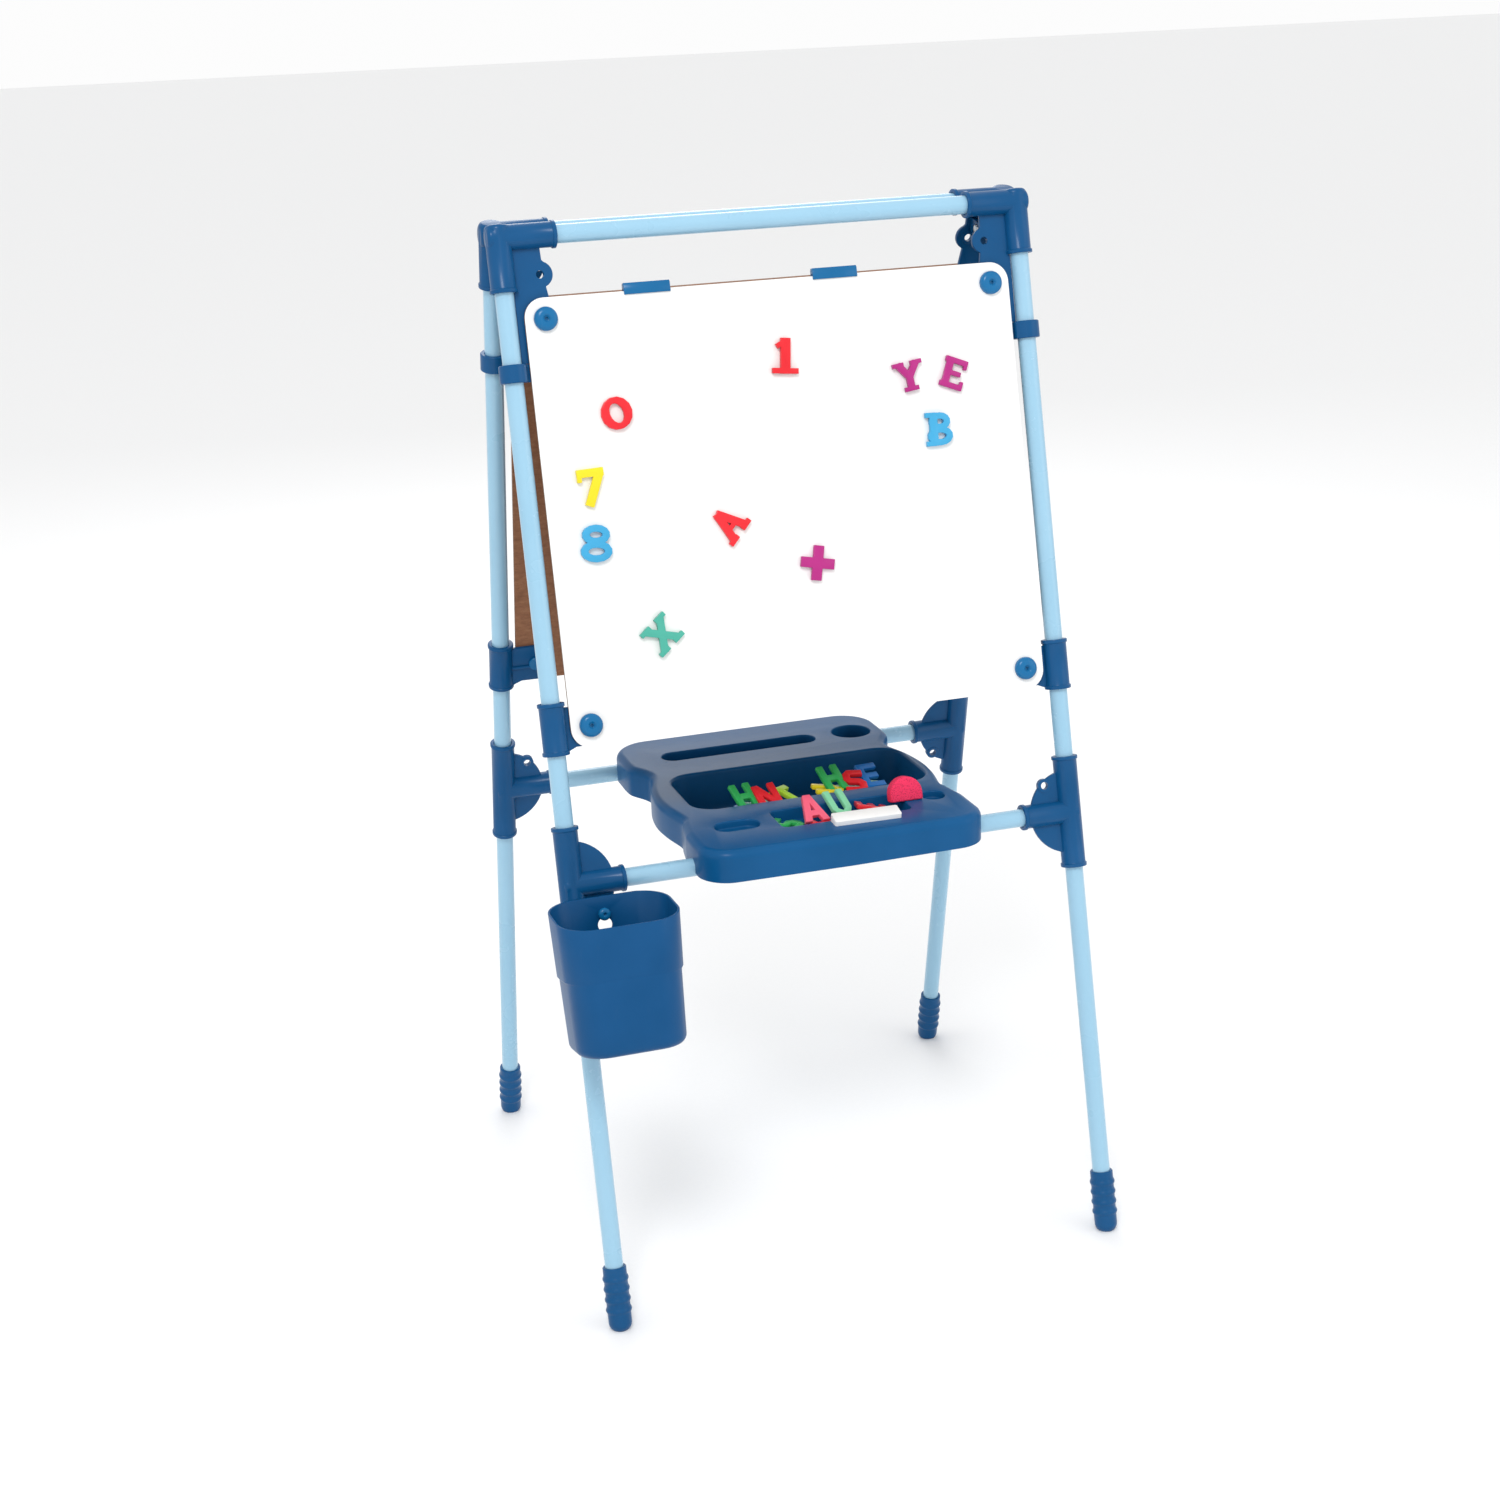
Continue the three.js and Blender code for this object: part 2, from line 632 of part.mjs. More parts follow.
// Each magnet: its shape, its place as a share of half the board's width and of its height, its
// turn, its size and its colour.
const magnets = [
  ["magnet_1", "one", 0.02, 0.173, -6, 1, 0xe5262f],
  ["magnet_0", "zero", -0.685, 0.266, 20, 0.92, 0xe8323a],
  ["magnet_7", "seven", -0.816, 0.424, 2, 1.05, 0xf4de2a],
  ["magnet_8", "eight", -0.822, 0.548, -4, 1.05, 0x3fa9d8],
  ["magnet_a", "a", -0.282, 0.536, 48, 0.95, 0xe02c38],
  ["magnet_plus", "plus", 0.068, 0.647, -11, 1, 0xa32a8a],
  ["magnet_x", "x", -0.599, 0.767, 40, 0.9, 0x4bae9a],
  ["magnet_y", "y", 0.531, 0.244, 8, 0.84, 0xa83292],
  ["magnet_e", "e", 0.722, 0.247, -22, 0.88, 0xa12f8e],
  ["magnet_b", "b", 0.64, 0.371, -1, 0.95, 0x35a5dc],
];

function addMagnets(group) {
  for (const [name, shape, across, share, turn, size, color] of magnets) {
    const x = (across * boardWidth) / 2;
    const down = boardTop + share * (boardBottom - boardTop);
    const letter = join(...letterShapes[shape]());
    letter.scale(magnetHeight * size, magnetHeight * size, magnetThickness);
    letter.rotateZ(THREE.MathUtils.degToRad(turn)).rotateX(Math.PI / 2);
    letter.translate(x, boardFront - gap - magnetThickness / 2, -down);
    add(group, name, letter, paint(color, 0.45));
  }
}

function addClips(group) {
  const front = boardFront - gap;
  const back = gap;
  for (const [i, share] of clipShares.entries()) {
    const x = (share * boardWidth) / 2;
    const channel = new THREE.Shape();
    channel.moveTo(front - clipSheet, -boardTop - clipGrip);
    channel.lineTo(front, -boardTop - clipGrip);
    channel.lineTo(front, -boardTop + gap);
    channel.lineTo(back, -boardTop + gap);
    channel.lineTo(back, -boardTop - clipGrip);
    channel.lineTo(back + clipSheet, -boardTop - clipGrip);
    channel.lineTo(back + clipSheet, -boardTop + clipCap - 2);
    channel.lineTo(back, -boardTop + clipCap);
    channel.lineTo(front, -boardTop + clipCap);
    channel.lineTo(front - clipSheet, -boardTop + clipCap - 2);
    const side = i === 0 ? "left" : "right";
    const place = [x - clipLength / 2, x + clipLength / 2];
    add(group, `paper_clip_${side}`, plateYZ(channel, place), clipPlastic);
  }
}

function addHingePins() {
  const reach = [hingeEarIn, hingeEarIn + earPitch + hingeEarThickness];
  const z = railHeight - pivotDrop;
  for (const side of [-1, 1]) {
    const pin = join(
      rodX(hingePinRadius, [inside(reach[1] + gap + 1), inside(reach[0] - gap - 1)], 0, z),
      rodX(pinHeadRadius, [inside(reach[1] + gap + pinHeadHeight), inside(reach[1] + gap)], 0, z),
      rodX(pinHeadRadius, [inside(reach[0] - gap), inside(reach[0] - gap - pinHeadHeight)], 0, z),
    );
    add(easel, `hinge_pin_${side < 0 ? "left" : "right"}`, mirrored(pin, side), steel);
  }
}

// ---- The tray: X and Y about its centre, Z up, resting on both cross tubes ----
const trayFront = -crossY - trayFrontReach;
const trayRear = crossY + trayRearReach;
const deck = crossZ + trayDeckRise;
const skirtBottom = crossZ - traySkirtDrop;
const basinY = (basinFromFront - basinFromRear) / 2;
const basinHalfWidth = trayHalfWidth - basinSide;
const basinHalfDepth = crossY - (basinFromFront + basinFromRear) / 2;
const basinFloor = deck - basinDepth;

function trayOutline() {
  const half = trayHalfWidth;
  const rearCorner = trayRearCorner;
  const frontCorner = trayFrontCorner;
  const shape = new THREE.Shape();
  // How far in from the widest place, and how far along as a share of the cross tubes' distance.
  const side = [
    [0.5, -0.862],
    [6, -0.6655],
    [8, -0.5776],
    [2, -0.3641],
    [0, -0.1507],
    [5, 0.0879],
    [15, 0.3014],
    [13, 0.4018],
    [2, 0.5399],
    [0, 0.6655],
  ];
  const at = (inward, share) => new THREE.Vector2(half - inward, share * crossY);
  const rightSide = side.map(([inward, share]) => at(inward, share));
  const leftSide = rightSide.map((point) => new THREE.Vector2(-point.x, point.y)).reverse();
  shape.moveTo(0, trayFront);
  shape.lineTo(half - frontCorner - 2, trayFront + 2);
  shape.absarc(half - frontCorner, trayFront + frontCorner + 2, frontCorner, -Math.PI / 2, 0);
  shape.splineThru(rightSide);
  shape.absarc(half - rearCorner, trayRear - rearCorner, rearCorner, 0, Math.PI / 2);
  shape.absarc(rearCorner - half, trayRear - rearCorner, rearCorner, Math.PI / 2, Math.PI);
  shape.splineThru(leftSide);
  shape.absarc(frontCorner - half, trayFront + frontCorner + 2, frontCorner, Math.PI, Math.PI * 1.5);
  return shape;
}

function trayShell() {
  const outline = ringPoints(trayOutline(), 2);
  const outer = stack([
    ringAt(outline, 1.5, skirtBottom),
    ringAt(outline, 0, skirtBottom + 3),
    ringAt(outline, 0, deck - 8),
    ringAt(outline, 1.2, deck - 4),
    ringAt(outline, 4, deck - 1.2),
    ringAt(outline, 8, deck),
  ]);
  const inner = stack([
    ringAt(outline, trayWall + 1, skirtBottom - 5),
    ringAt(outline, trayWall, skirtBottom + 3),
    ringAt(outline, trayWall + 0.5, deck - 8),
    ringAt(outline, trayWall + 5, deck - trayWall),
  ]);
  return cut(outer, inner);
}

function basinRing(grow, z) {
  const x = basinHalfWidth + grow;
  const y = basinHalfDepth + grow;
  const corner = basinCorner + grow / 2;
  const ring = roundedRect(basinShift - x, basinShift + x, basinY - y, basinY + y, corner);
  return ringAt(ringPoints(ring, 3), 0, z);
}

// Pockets sunk in the deck: outline, and depth below the deck.
function trayPockets() {
  const half = trayHalfWidth;
  const fromRear = (distances) => distances.map((distance) => crossY - distance);
  const fromFront = (distances) => distances.map((distance) => distance - crossY);
  const { left, right, rear, corner } = slotPocket;
  const slot = roundedRect(left - half, half - right, ...fromRear(rear), corner);
  const cup = new THREE.Shape();
  cup.absarc(half - cupPocket.right, crossY - cupPocket.rear, cupPocket.radius, 0, Math.PI * 2);
  const leftOval = roundedRect(
    ...leftPocket.left.map((x) => x - half),
    ...fromFront(leftPocket.front),
    leftPocket.corner,
  );
  const rightOval = roundedRect(
    ...rightPocket.right.map((x) => half - x),
    ...fromFront(rightPocket.front),
    rightPocket.corner,
  );
  const middle = roundedRect(
    middlePocket.left - half,
    half - middlePocket.right,
    ...fromFront(middlePocket.front),
    middlePocket.corner,
  );
  return [
    [slot, slotPocket.depth],
    [cup, cupPocket.depth],
    [leftOval, leftPocket.depth],
    [rightOval, rightPocket.depth],
    [middle, middlePocket.depth],
  ];
}

// The way that the front cross tube needs as it leaves its notch, down and towards the rear.
function frontNotch() {
  const reach = notchReach;
  const side = bore * Math.SQRT1_2;
  const shape = new THREE.Shape();
  shape.absarc(-crossY, crossZ, bore, Math.PI / 4, (Math.PI * 5) / 4);
  shape.lineTo(-crossY + reach - side, crossZ - reach - side);
  shape.lineTo(-crossY + reach + side, crossZ - reach + side);
  return shape;
}

function rearNotch() {
  const shape = new THREE.Shape();
  shape.absarc(crossY, crossZ, bore, 0, Math.PI);
  shape.lineTo(crossY - bore, crossZ - notchReach - trayWall - 1);
  shape.lineTo(crossY + bore, crossZ - notchReach - trayWall - 1);
  return shape;
}

function tray() {
  const wide = [-trayHalfWidth - 5, trayHalfWidth + 5];
  const ribZ = [skirtBottom + 1, deck - 1];
  const frontRib = [trayFront + trayWall + 2, basinY - basinHalfDepth - trayRibToBasin[0]];
  const rearRib = [basinY + basinHalfDepth + trayRibToBasin[1], trayRear - 2];
  const ribs = trayRibAt.flatMap((x) =>
    [frontRib, rearRib].map((y) => box([x - trayRibHalf, x + trayRibHalf], y, ribZ)),
  );
  const basin = stack([
    basinRing(trayWall - basinDraft - 4, basinFloor - trayWall),
    basinRing(trayWall - basinDraft, basinFloor + 2),
    basinRing(trayWall, deck - 1),
  ]);
  const hollow = stack([
    basinRing(-basinDraft - 4, basinFloor),
    basinRing(-basinDraft, basinFloor + 4),
    basinRing(0, deck - 2),
    basinRing(2, deck + 1),
  ]);
  const pockets = trayPockets();
  const cups = pockets.map(([shape, depth]) => plateXY(grown(shape), [deck - depth - pocketWall, deck - 1]));
  const cuts = pockets.map(([shape, depth]) => plateXY(shape, [deck - depth, deck + 1]));
  const body = join(trayShell(), basin, ...ribs, ...cups);
  const notches = [frontNotch(), rearNotch()].map((shape) => plateYZ(shape, wide, 12));
  return cut(body, hollow, ...cuts, ...notches);
}

// A convex outline grown outwards by the pocket wall.
function grown(shape) {
  const ring = ringAt(ringPoints(shape, 4), -pocketWall, 0);
  return new THREE.Shape(ring.map((p) => new THREE.Vector2(p.x, p.y)));
}

// ---- The bucket: drawn in the front frame's group, back wall against the tee's flanges ----
function bucketRing(shrink, down) {
  const share = (down - bucketRimDown) / (bucketBottomDown - bucketRimDown);
  const half = bucketWidth / 2 - bucketTaper * share - shrink;
  const back = bucketBack - shrink;
  const front = bucketBack - bucketDepth + bucketTaper * 1.4 * share + shrink;
  const shape = roundedRect(bucketX - half, bucketX + half, front, back, bucketCorner - shrink);
  return ringAt(ringPoints(shape, 4), 0, -down);
}

function keyhole() {
  const entry = -(bucketKnobDown + bucketLift);
  const slot = knobShaftRadius + bucketSlotRoom;
  const y = [bucketBack - bucketWall - 1, bucketBack + 1];
  return join(
    rodY(slot, y, bucketX, -bucketKnobDown),
    rodY(bucketKnobRadius + 1, y, bucketX, entry),
    box([bucketX - slot, bucketX + slot], y, [entry, -bucketKnobDown]),
  );
}

function bucket() {
  const step = bucketStep;
  const outer = stack([
    bucketRing(step + 5, bucketBottomDown),
    bucketRing(step + 1.5, bucketBottomDown - 1.5),
    bucketRing(step, bucketBottomDown - 5),
    bucketRing(step, bucketBeltDown + 1.5),
    bucketRing(0, bucketBeltDown),
    bucketRing(0, bucketRimDown - 28),
  ]);
  const inner = stack([
    bucketRing(step + bucketWall + 4, bucketBottomDown - bucketWall),
    bucketRing(step + bucketWall, bucketBottomDown - bucketWall - 4),
    bucketRing(step + bucketWall, bucketBeltDown),
    bucketRing(bucketWall, bucketBeltDown - 3),
    bucketRing(bucketWall, bucketRimDown - 30),
  ]);
  const level = box([-bucketWidth, bucketWidth], [-2 * bucketDepth, bucketDepth], [0, bucketDepth])
    .rotateX(THREE.MathUtils.degToRad(bucketRimLean))
    .translate(bucketX, bucketBack, -bucketRimDown);
  return cut(outer, inner, level, keyhole());
}

function bucketKnob() {
  const web = plateThickness / 2 + gap;
  const head = knobNutHeight + web - (bucketBack - bucketWall) + gap;
  const profile = [
    [0, 0],
    [knobNutRadius, 0],
    [knobNutRadius, knobNutHeight],
    [knobShaftRadius, knobNutHeight],
    [knobShaftRadius, head],
    [bucketKnobRadius, head],
    [bucketKnobRadius, head + 2],
    [bucketKnobRadius - 1.5, head + 4],
    [2.6, head + 5],
    [1.8, head + 3.5],
    [0, head + 3.5],
  ];
  const place = [bucketX, web + knobNutHeight, -bucketKnobDown];
  return turned(profile, 14).rotateX(Math.PI / 2).translate(...place);
}

// ---- Assembly ----
const frontFrame = buildFrame("front", 0, hingeEarIn);
const rearFrame = buildFrame("rear", Math.PI, hingeEarIn + earPitch);
whiteboard(frontFrame);
chalkboard(rearFrame);
addKnobs(frontFrame, "whiteboard", 0);
addKnobs(rearFrame, "chalkboard", Math.PI);
addMagnets(frontFrame);
addClips(frontFrame);
addHingePins();
add(frontFrame, "bucket", bucket(), bluePlastic);
add(frontFrame, "bucket_knob", bucketKnob(), bluePlastic);
add(easel, "tray", tray(), bluePlastic).position.x = trayCentre;

export default easel;
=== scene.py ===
# %% [markdown]
# # A kids easel, finished around its frame
# The easel is two leaning frames of painted tube, hinged at the top, with moulded blue fittings, a white board, a
# chalk board, a tray and a bucket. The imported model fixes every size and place. This lesson builds the finished
# surfaces on it: first a few hands for Blender's own tools, then the finishes, then each piece in turn.

# %% Load the frame
import json
import math

import bpy
from mathutils import Matrix, Vector


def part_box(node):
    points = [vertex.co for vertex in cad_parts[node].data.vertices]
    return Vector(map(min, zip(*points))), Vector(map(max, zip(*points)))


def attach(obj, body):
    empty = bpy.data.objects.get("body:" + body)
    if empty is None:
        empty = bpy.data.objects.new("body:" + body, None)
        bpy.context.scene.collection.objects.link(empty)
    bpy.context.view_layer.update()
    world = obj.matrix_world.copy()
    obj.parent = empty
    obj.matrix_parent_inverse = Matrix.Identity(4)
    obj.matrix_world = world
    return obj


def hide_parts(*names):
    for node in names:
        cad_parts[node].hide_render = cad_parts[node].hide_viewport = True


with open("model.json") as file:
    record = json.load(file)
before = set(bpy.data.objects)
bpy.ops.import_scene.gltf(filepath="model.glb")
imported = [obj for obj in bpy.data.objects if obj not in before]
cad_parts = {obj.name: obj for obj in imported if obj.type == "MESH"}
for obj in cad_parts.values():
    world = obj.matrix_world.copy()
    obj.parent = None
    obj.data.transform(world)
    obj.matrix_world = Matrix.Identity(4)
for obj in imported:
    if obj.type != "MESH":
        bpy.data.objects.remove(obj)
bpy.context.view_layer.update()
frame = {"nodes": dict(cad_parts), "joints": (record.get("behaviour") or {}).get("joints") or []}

mm = 0.001
nodes = frame["nodes"]

# %% [markdown]
# Every place comes from the frame. The bucket's slide runs along the leg, so its axis gives the lean. The rails and
# cross tubes give the heights, and the legs give the spacing. Each easel side is then drawn upright, with X across,
# -Y to its outside and -Z down the leg from the rail, and one matrix leans it into place.

# %% Places taken from the frame
def middle(node):
    low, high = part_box(node)
    return (low + high) / 2


def joint(name):
    return next(j for j in frame["joints"] if j["name"] == name)


def rotation(degrees, axis):
    return Matrix.Rotation(math.radians(degrees), 4, axis)


up_leg = Vector(joint("bucket_lift")["axis"])
lean = math.atan2(up_leg.y, up_leg.z)
rail = middle("front_top_rail")
leg_x = middle("front_right_upper_leg").x
cross = middle("front_cross_tube")
cross_down = (rail.z - cross.z) / math.cos(lean)
leg_length = rail.z / math.cos(lean)
front_space = Matrix.Translation(rail) @ Matrix.Rotation(-lean, 4, "X")
rear_space = rotation(180, "Z") @ front_space
spaces = {"front": front_space, "rear": rear_space}
print("lean", round(math.degrees(lean), 2), "rail height", round(rail.z, 4), "cross tube down", round(cross_down, 4))

# %% [markdown]
# ## Hands
# Blender's tools act on all that is selected, so each hand first lets go of everything. A line is drawn by extruding
# one vertex from point to point, which is how an outline is traced by hand. A closed line is filled, and a profile is
# spun. Solids are joined and cut with boolean modifiers that are applied at once.

# %% Hands for drawing and joining
def hold(*pieces):
    bpy.ops.object.select_all(action="DESELECT")
    for piece in pieces:
        piece.select_set(True)
    bpy.context.view_layer.objects.active = pieces[0]


def edit(on):
    bpy.ops.object.mode_set(mode="EDIT" if on else "OBJECT")


def pick_all():
    bpy.ops.mesh.select_all(action="SELECT")


def open_up(piece):
    """Opens one piece in edit mode with all of it selected."""
    hold(piece)
    edit(True)
    pick_all()


def pull(way):
    """Extrudes what is selected along a way."""
    bpy.ops.mesh.extrude_region_move(TRANSFORM_OT_translate={"value": way})


def draw(name, points, fill=False):
    """Traces points with one extruded vertex and stays in edit mode. A filled line becomes one face."""
    bpy.ops.object.select_all(action="DESELECT")
    bpy.ops.mesh.primitive_plane_add(size=0.01)
    piece = bpy.context.object
    piece.name = piece.data.name = name
    edit(True)
    bpy.ops.mesh.select_mode(type="VERT")
    pick_all()
    bpy.ops.mesh.merge(type="CENTER")
    bpy.ops.transform.translate(value=points[0])
    for before, after in zip(points, points[1:]):
        pull(Vector(after) - Vector(before))
    pick_all()
    if fill:
        bpy.ops.mesh.edge_face_add()
        bpy.ops.mesh.select_mode(type="FACE")
        pick_all()
    return piece


def tidy_normals():
    pick_all()
    bpy.ops.mesh.remove_doubles(threshold=0.002 * mm)
    bpy.ops.mesh.normals_make_consistent(inside=False)


def close_up():
    """Merges what meets, points the faces outwards and leaves edit mode."""
    tidy_normals()
    edit(False)


def slab(name, points, way):
    """Fills an outline and pulls it once, into a solid with sharp edges."""
    piece = draw(name, points, fill=True)
    pull(way)
    close_up()
    return piece


def turned(name, profile, steps=48):
    """Spins (radius, height) pairs about Z. The profile starts and ends on the axis, or on itself."""
    piece = draw(name, [(r, 0, h) for r, h in profile])
    bpy.ops.mesh.spin(steps=steps, angle=math.tau, center=(0, 0, 0), axis=(0, 0, 1))
    close_up()
    return piece


def moulded(name, outline, steps, direction=(0, 0, 1)):
    """Fills an outline and pulls it along its normal: each step is how far in, and how far on."""
    piece = draw(name, outline, fill=True)
    way = Vector(direction)
    pull(way * 0.01 * mm)
    for inward, onward in steps:
        if inward:
            bpy.ops.mesh.inset(thickness=abs(inward), use_outset=inward < 0, use_even_offset=True)
            bpy.ops.transform.translate(value=way * onward)
        else:
            pull(way * onward)
    close_up()
    return piece


def finish_with(piece, kind, **settings):
    """Adds one modifier and applies it."""
    hold(piece)
    modifier = piece.modifiers.new(kind.title(), kind)
    for key, value in settings.items():
        setattr(modifier, key, value)
    bpy.ops.object.modifier_apply(modifier=modifier.name)
    return piece


def boolean(piece, others, operation):
    for other in others:
        finish_with(piece, "BOOLEAN", object=other, operation=operation, solver="EXACT")
        bpy.data.objects.remove(other)
    return piece


def join(piece, *others):
    return boolean(piece, others, "UNION")


def cut(piece, *others):
    return boolean(piece, others, "DIFFERENCE")


def lay(piece, matrix):
    """Puts a piece in place with the place in its mesh, and mends its normals if the matrix mirrors it."""
    piece.data.transform(matrix)
    if matrix.determinant() < 0:
        piece.data.flip_normals()
    return piece


def twin(piece, name):
    other = piece.copy()
    other.data = piece.data.copy()
    other.name = other.data.name = name
    bpy.context.scene.collection.objects.link(other)
    return other


def soften(piece, width, segments=2, angle=35):
    return finish_with(piece, "BEVEL", width=width, segments=segments, limit_method="ANGLE",
                       angle_limit=math.radians(angle), harden_normals=False)


def smooth(piece, angle=32):
    hold(piece)
    bpy.ops.object.shade_smooth_by_angle(angle=math.radians(angle))
    return piece


def arc(x, y, radius, start, end, count=8):
    """Points of an arc, in degrees."""
    turns = [math.radians(start + (end - start) * i / count) for i in range(count + 1)]
    return [(x + radius * math.cos(t), y + radius * math.sin(t)) for t in turns]


def angles(start, stop, step):
    return [math.radians(a) for a in range(start, stop, step)]


def spaced(points, least=0.4 * mm):
    """Drops points that nearly meet the one before, since an inset can't follow an edge that short."""
    kept = points[:1]
    for point in points[1:]:
        if math.dist(point, kept[-1]) > least:
            kept.append(point)
    return kept[:-1] if math.dist(kept[-1], kept[0]) < least else kept


def rounded(x0, x1, y0, y1, radius, count=8):
    return spaced(arc(x1 - radius, y0 + radius, radius, -90, 0, count)
                  + arc(x1 - radius, y1 - radius, radius, 0, 90, count)
                  + arc(x0 + radius, y1 - radius, radius, 90, 180, count)
                  + arc(x0 + radius, y0 + radius, radius, 180, 270, count))


def in_xz(points, y=0.0):
    return [(x, y, z) for x, z in points]


def at_z(points, z):
    return [(x, y, z) for x, y in points]


def pin(name, radius, start, end, count=32):
    """A round bar between two points, drawn as a circle that is filled and pulled."""
    start, end = Vector(start), Vector(end)
    bar = moulded(name, at_z(arc(0, 0, radius, 0, 360, count)[:-1], 0), [(0, (end - start).length)])
    return lay(bar, Matrix.Translation(start) @ Vector(end - start).to_track_quat("Z", "Y").to_matrix().to_4x4())


print("hands ready")

# %% [markdown]
# ## Finishes
# Shader maths reads best as ordinary expressions. The small class below wraps a socket, so that adding or multiplying
# two of them adds the Math node. Any other node comes from one method. Patterns use Object coordinates, since each
# piece sits at the origin with its place in its mesh, and a pattern then has its true size in metres.

# %% Shader expressions
class Wire:
    def __init__(self, shader, socket):
        self.shader, self.socket = shader, socket

    def math(self, operation, *values):
        return self.shader.node("ShaderNodeMath", {"operation": operation}, *values)

    def __add__(self, other):
        return self.math("ADD", self, other)

    def __mul__(self, other):
        return self.math("MULTIPLY", self, other)

    def __sub__(self, other):
        return self.math("SUBTRACT", self, other)

    def __rsub__(self, other):
        return self.math("SUBTRACT", other, self)

    __radd__, __rmul__ = __add__, __mul__


class Finish:
    """One material: its tree, its shader and its object coordinates."""

    def __init__(self, name, **constants):
        self.material = bpy.data.materials.new(name)
        self.material.use_nodes = True
        self.tree = self.material.node_tree
        self.shader = self.tree.nodes["Principled BSDF"]
        for key, value in constants.items():
            self.shader.inputs[key.replace("_", " ")].default_value = value
        self.place = self.node("ShaderNodeTexCoord", {}, out="Object")

    def node(self, kind, settings, *values, out=0, **named):
        made = self.tree.nodes.new(kind)
        for key, value in settings.items():
            if key == "stops":
                ramp = made.color_ramp.elements
                for i, (at, colour) in enumerate(value):
                    stop = ramp[i] if i < len(ramp) else ramp.new(at)
                    stop.position, stop.color = at, (*colour, 1) if len(colour) == 3 else colour
            else:
                setattr(made, key, value)
        for key, value in [*enumerate(values), *((k.replace("_", " "), v) for k, v in named.items())]:
            if isinstance(value, Wire):
                self.tree.links.new(value.socket, made.inputs[key])
            else:
                made.inputs[key].default_value = value
        return Wire(self, made.outputs[out])

    def noise(self, scale, detail=3.0, roughness=0.55, where=None):
        return self.node("ShaderNodeTexNoise", {}, Vector=where or self.place, Scale=scale, Detail=detail,
                         Roughness=roughness)

    def ramp(self, value, *stops):
        return self.node("ShaderNodeValToRGB", {"stops": stops}, value)

    def mask(self, value, low, high):
        return self.node("ShaderNodeMapRange", {"interpolation_type": "SMOOTHSTEP"}, Value=value, From_Min=low,
                         From_Max=high)

    def blend(self, share, below, above):
        """Mixes two colours. The sockets of a colour mix are numbered 6 and 7, and its answer is 2."""
        mix = self.tree.nodes.new("ShaderNodeMix")
        mix.data_type = "RGBA"
        for socket, value in ((0, share), (6, below), (7, above)):
            if isinstance(value, Wire):
                self.tree.links.new(value.socket, mix.inputs[socket])
            else:
                mix.inputs[socket].default_value = (*value, 1) if isinstance(value, tuple) else value
        return Wire(self, mix.outputs[2])

    def stretch(self, x, y, z):
        return self.node("ShaderNodeMapping", {}, Vector=self.place, Scale=(x, y, z))

    def bump(self, height, strength, distance):
        return self.node("ShaderNodeBump", {}, Strength=strength, Distance=distance, Height=height)

    def wear(self, **sockets):
        for key, value in sockets.items():
            self.tree.links.new(value.socket, self.shader.inputs[key.replace("_", " ")])
        return self.material


print("shader hands ready")

# %% [markdown]
# The tube has a light blue powder coat. It is smooth at arm's length but has the fine orange peel of sprayed powder,
# so a small noise drives the bump, and a larger and weaker one shifts the colour and the gloss.

# %% Tube paint
def tube_paint():
    f = Finish("tube_paint", Coat_Roughness=0.12, Specular_IOR_Level=0.5)
    peel = f.noise(1400, 2)
    cloud = f.noise(9, 4)
    rub = f.mask(f.noise(55, 5, 0.7), 0.62, 0.72)
    colour = f.blend(cloud, (0.25, 0.47, 0.63), (0.31, 0.53, 0.68))
    colour = f.blend(rub * 0.25, colour, (0.45, 0.66, 0.77))
    return f.wear(Base_Color=colour, Roughness=cloud * 0.12 + rub * 0.1 + 0.22, Coat_Weight=0.5 - rub * 0.4,
                  Normal=f.bump(peel, 0.12, 0.4 * mm))


# %% [markdown]
# The fittings, the tray and the bucket are injection moulded. One function makes that plastic: a fine spark-eroded
# grain in the bump, faint flow clouds in the colour, and light handling scratches that only change the gloss.

# %% Moulded plastic
def moulded_plastic(name, colour, gloss=0.34, grain=0.18, grain_scale=1900, coat=0.2):
    f = Finish(name, Coat_Roughness=0.2, Specular_IOR_Level=0.12)
    flow = f.noise(14, 3, 0.5)
    spark = f.noise(grain_scale, 2, 0.6)
    streaks = f.mask(f.noise(120, 4, 0.75, f.stretch(1, 1, 0.12)), 0.6, 0.75)
    dark = tuple(c * 0.82 for c in colour)
    light = tuple(min(1.0, c * 1.12 + 0.004) for c in colour)
    pale = tuple(c * 0.85 + 0.02 for c in colour)
    body = f.blend(flow, dark, light)
    body = f.blend(streaks * 0.12, body, pale)
    return f.wear(Base_Color=body, Roughness=flow * 0.1 + streaks * 0.14 + gloss, Coat_Weight=flow * coat + coat * 0.5,
                  Normal=f.bump(spark, grain, 0.15 * mm))


# %% [markdown]
# The boards are three finishes. The white face is a hard gloss lacquer with faint wiped-off smears. Its backing is
# brown hardboard, pressed wood fibre, with long soft flecks. The chalk side is matt, with a haze of old chalk dust
# dragged sideways by the eraser.

# %% Board finishes
def white_lacquer():
    f = Finish("white_lacquer", Coat_Roughness=0.05)
    wipe = f.noise(7, 5, 0.6, f.stretch(0.6, 1, 2.2))
    smear = f.mask(wipe, 0.56, 0.75)
    colour = f.blend(smear * 0.35, (0.90, 0.905, 0.91), (0.83, 0.85, 0.87))
    ripple = f.noise(40, 2)
    return f.wear(Base_Color=colour, Roughness=smear * 0.2 + 0.16, Coat_Weight=0.6 - smear * 0.4,
                  Normal=f.bump(ripple, 0.05, 0.3 * mm))


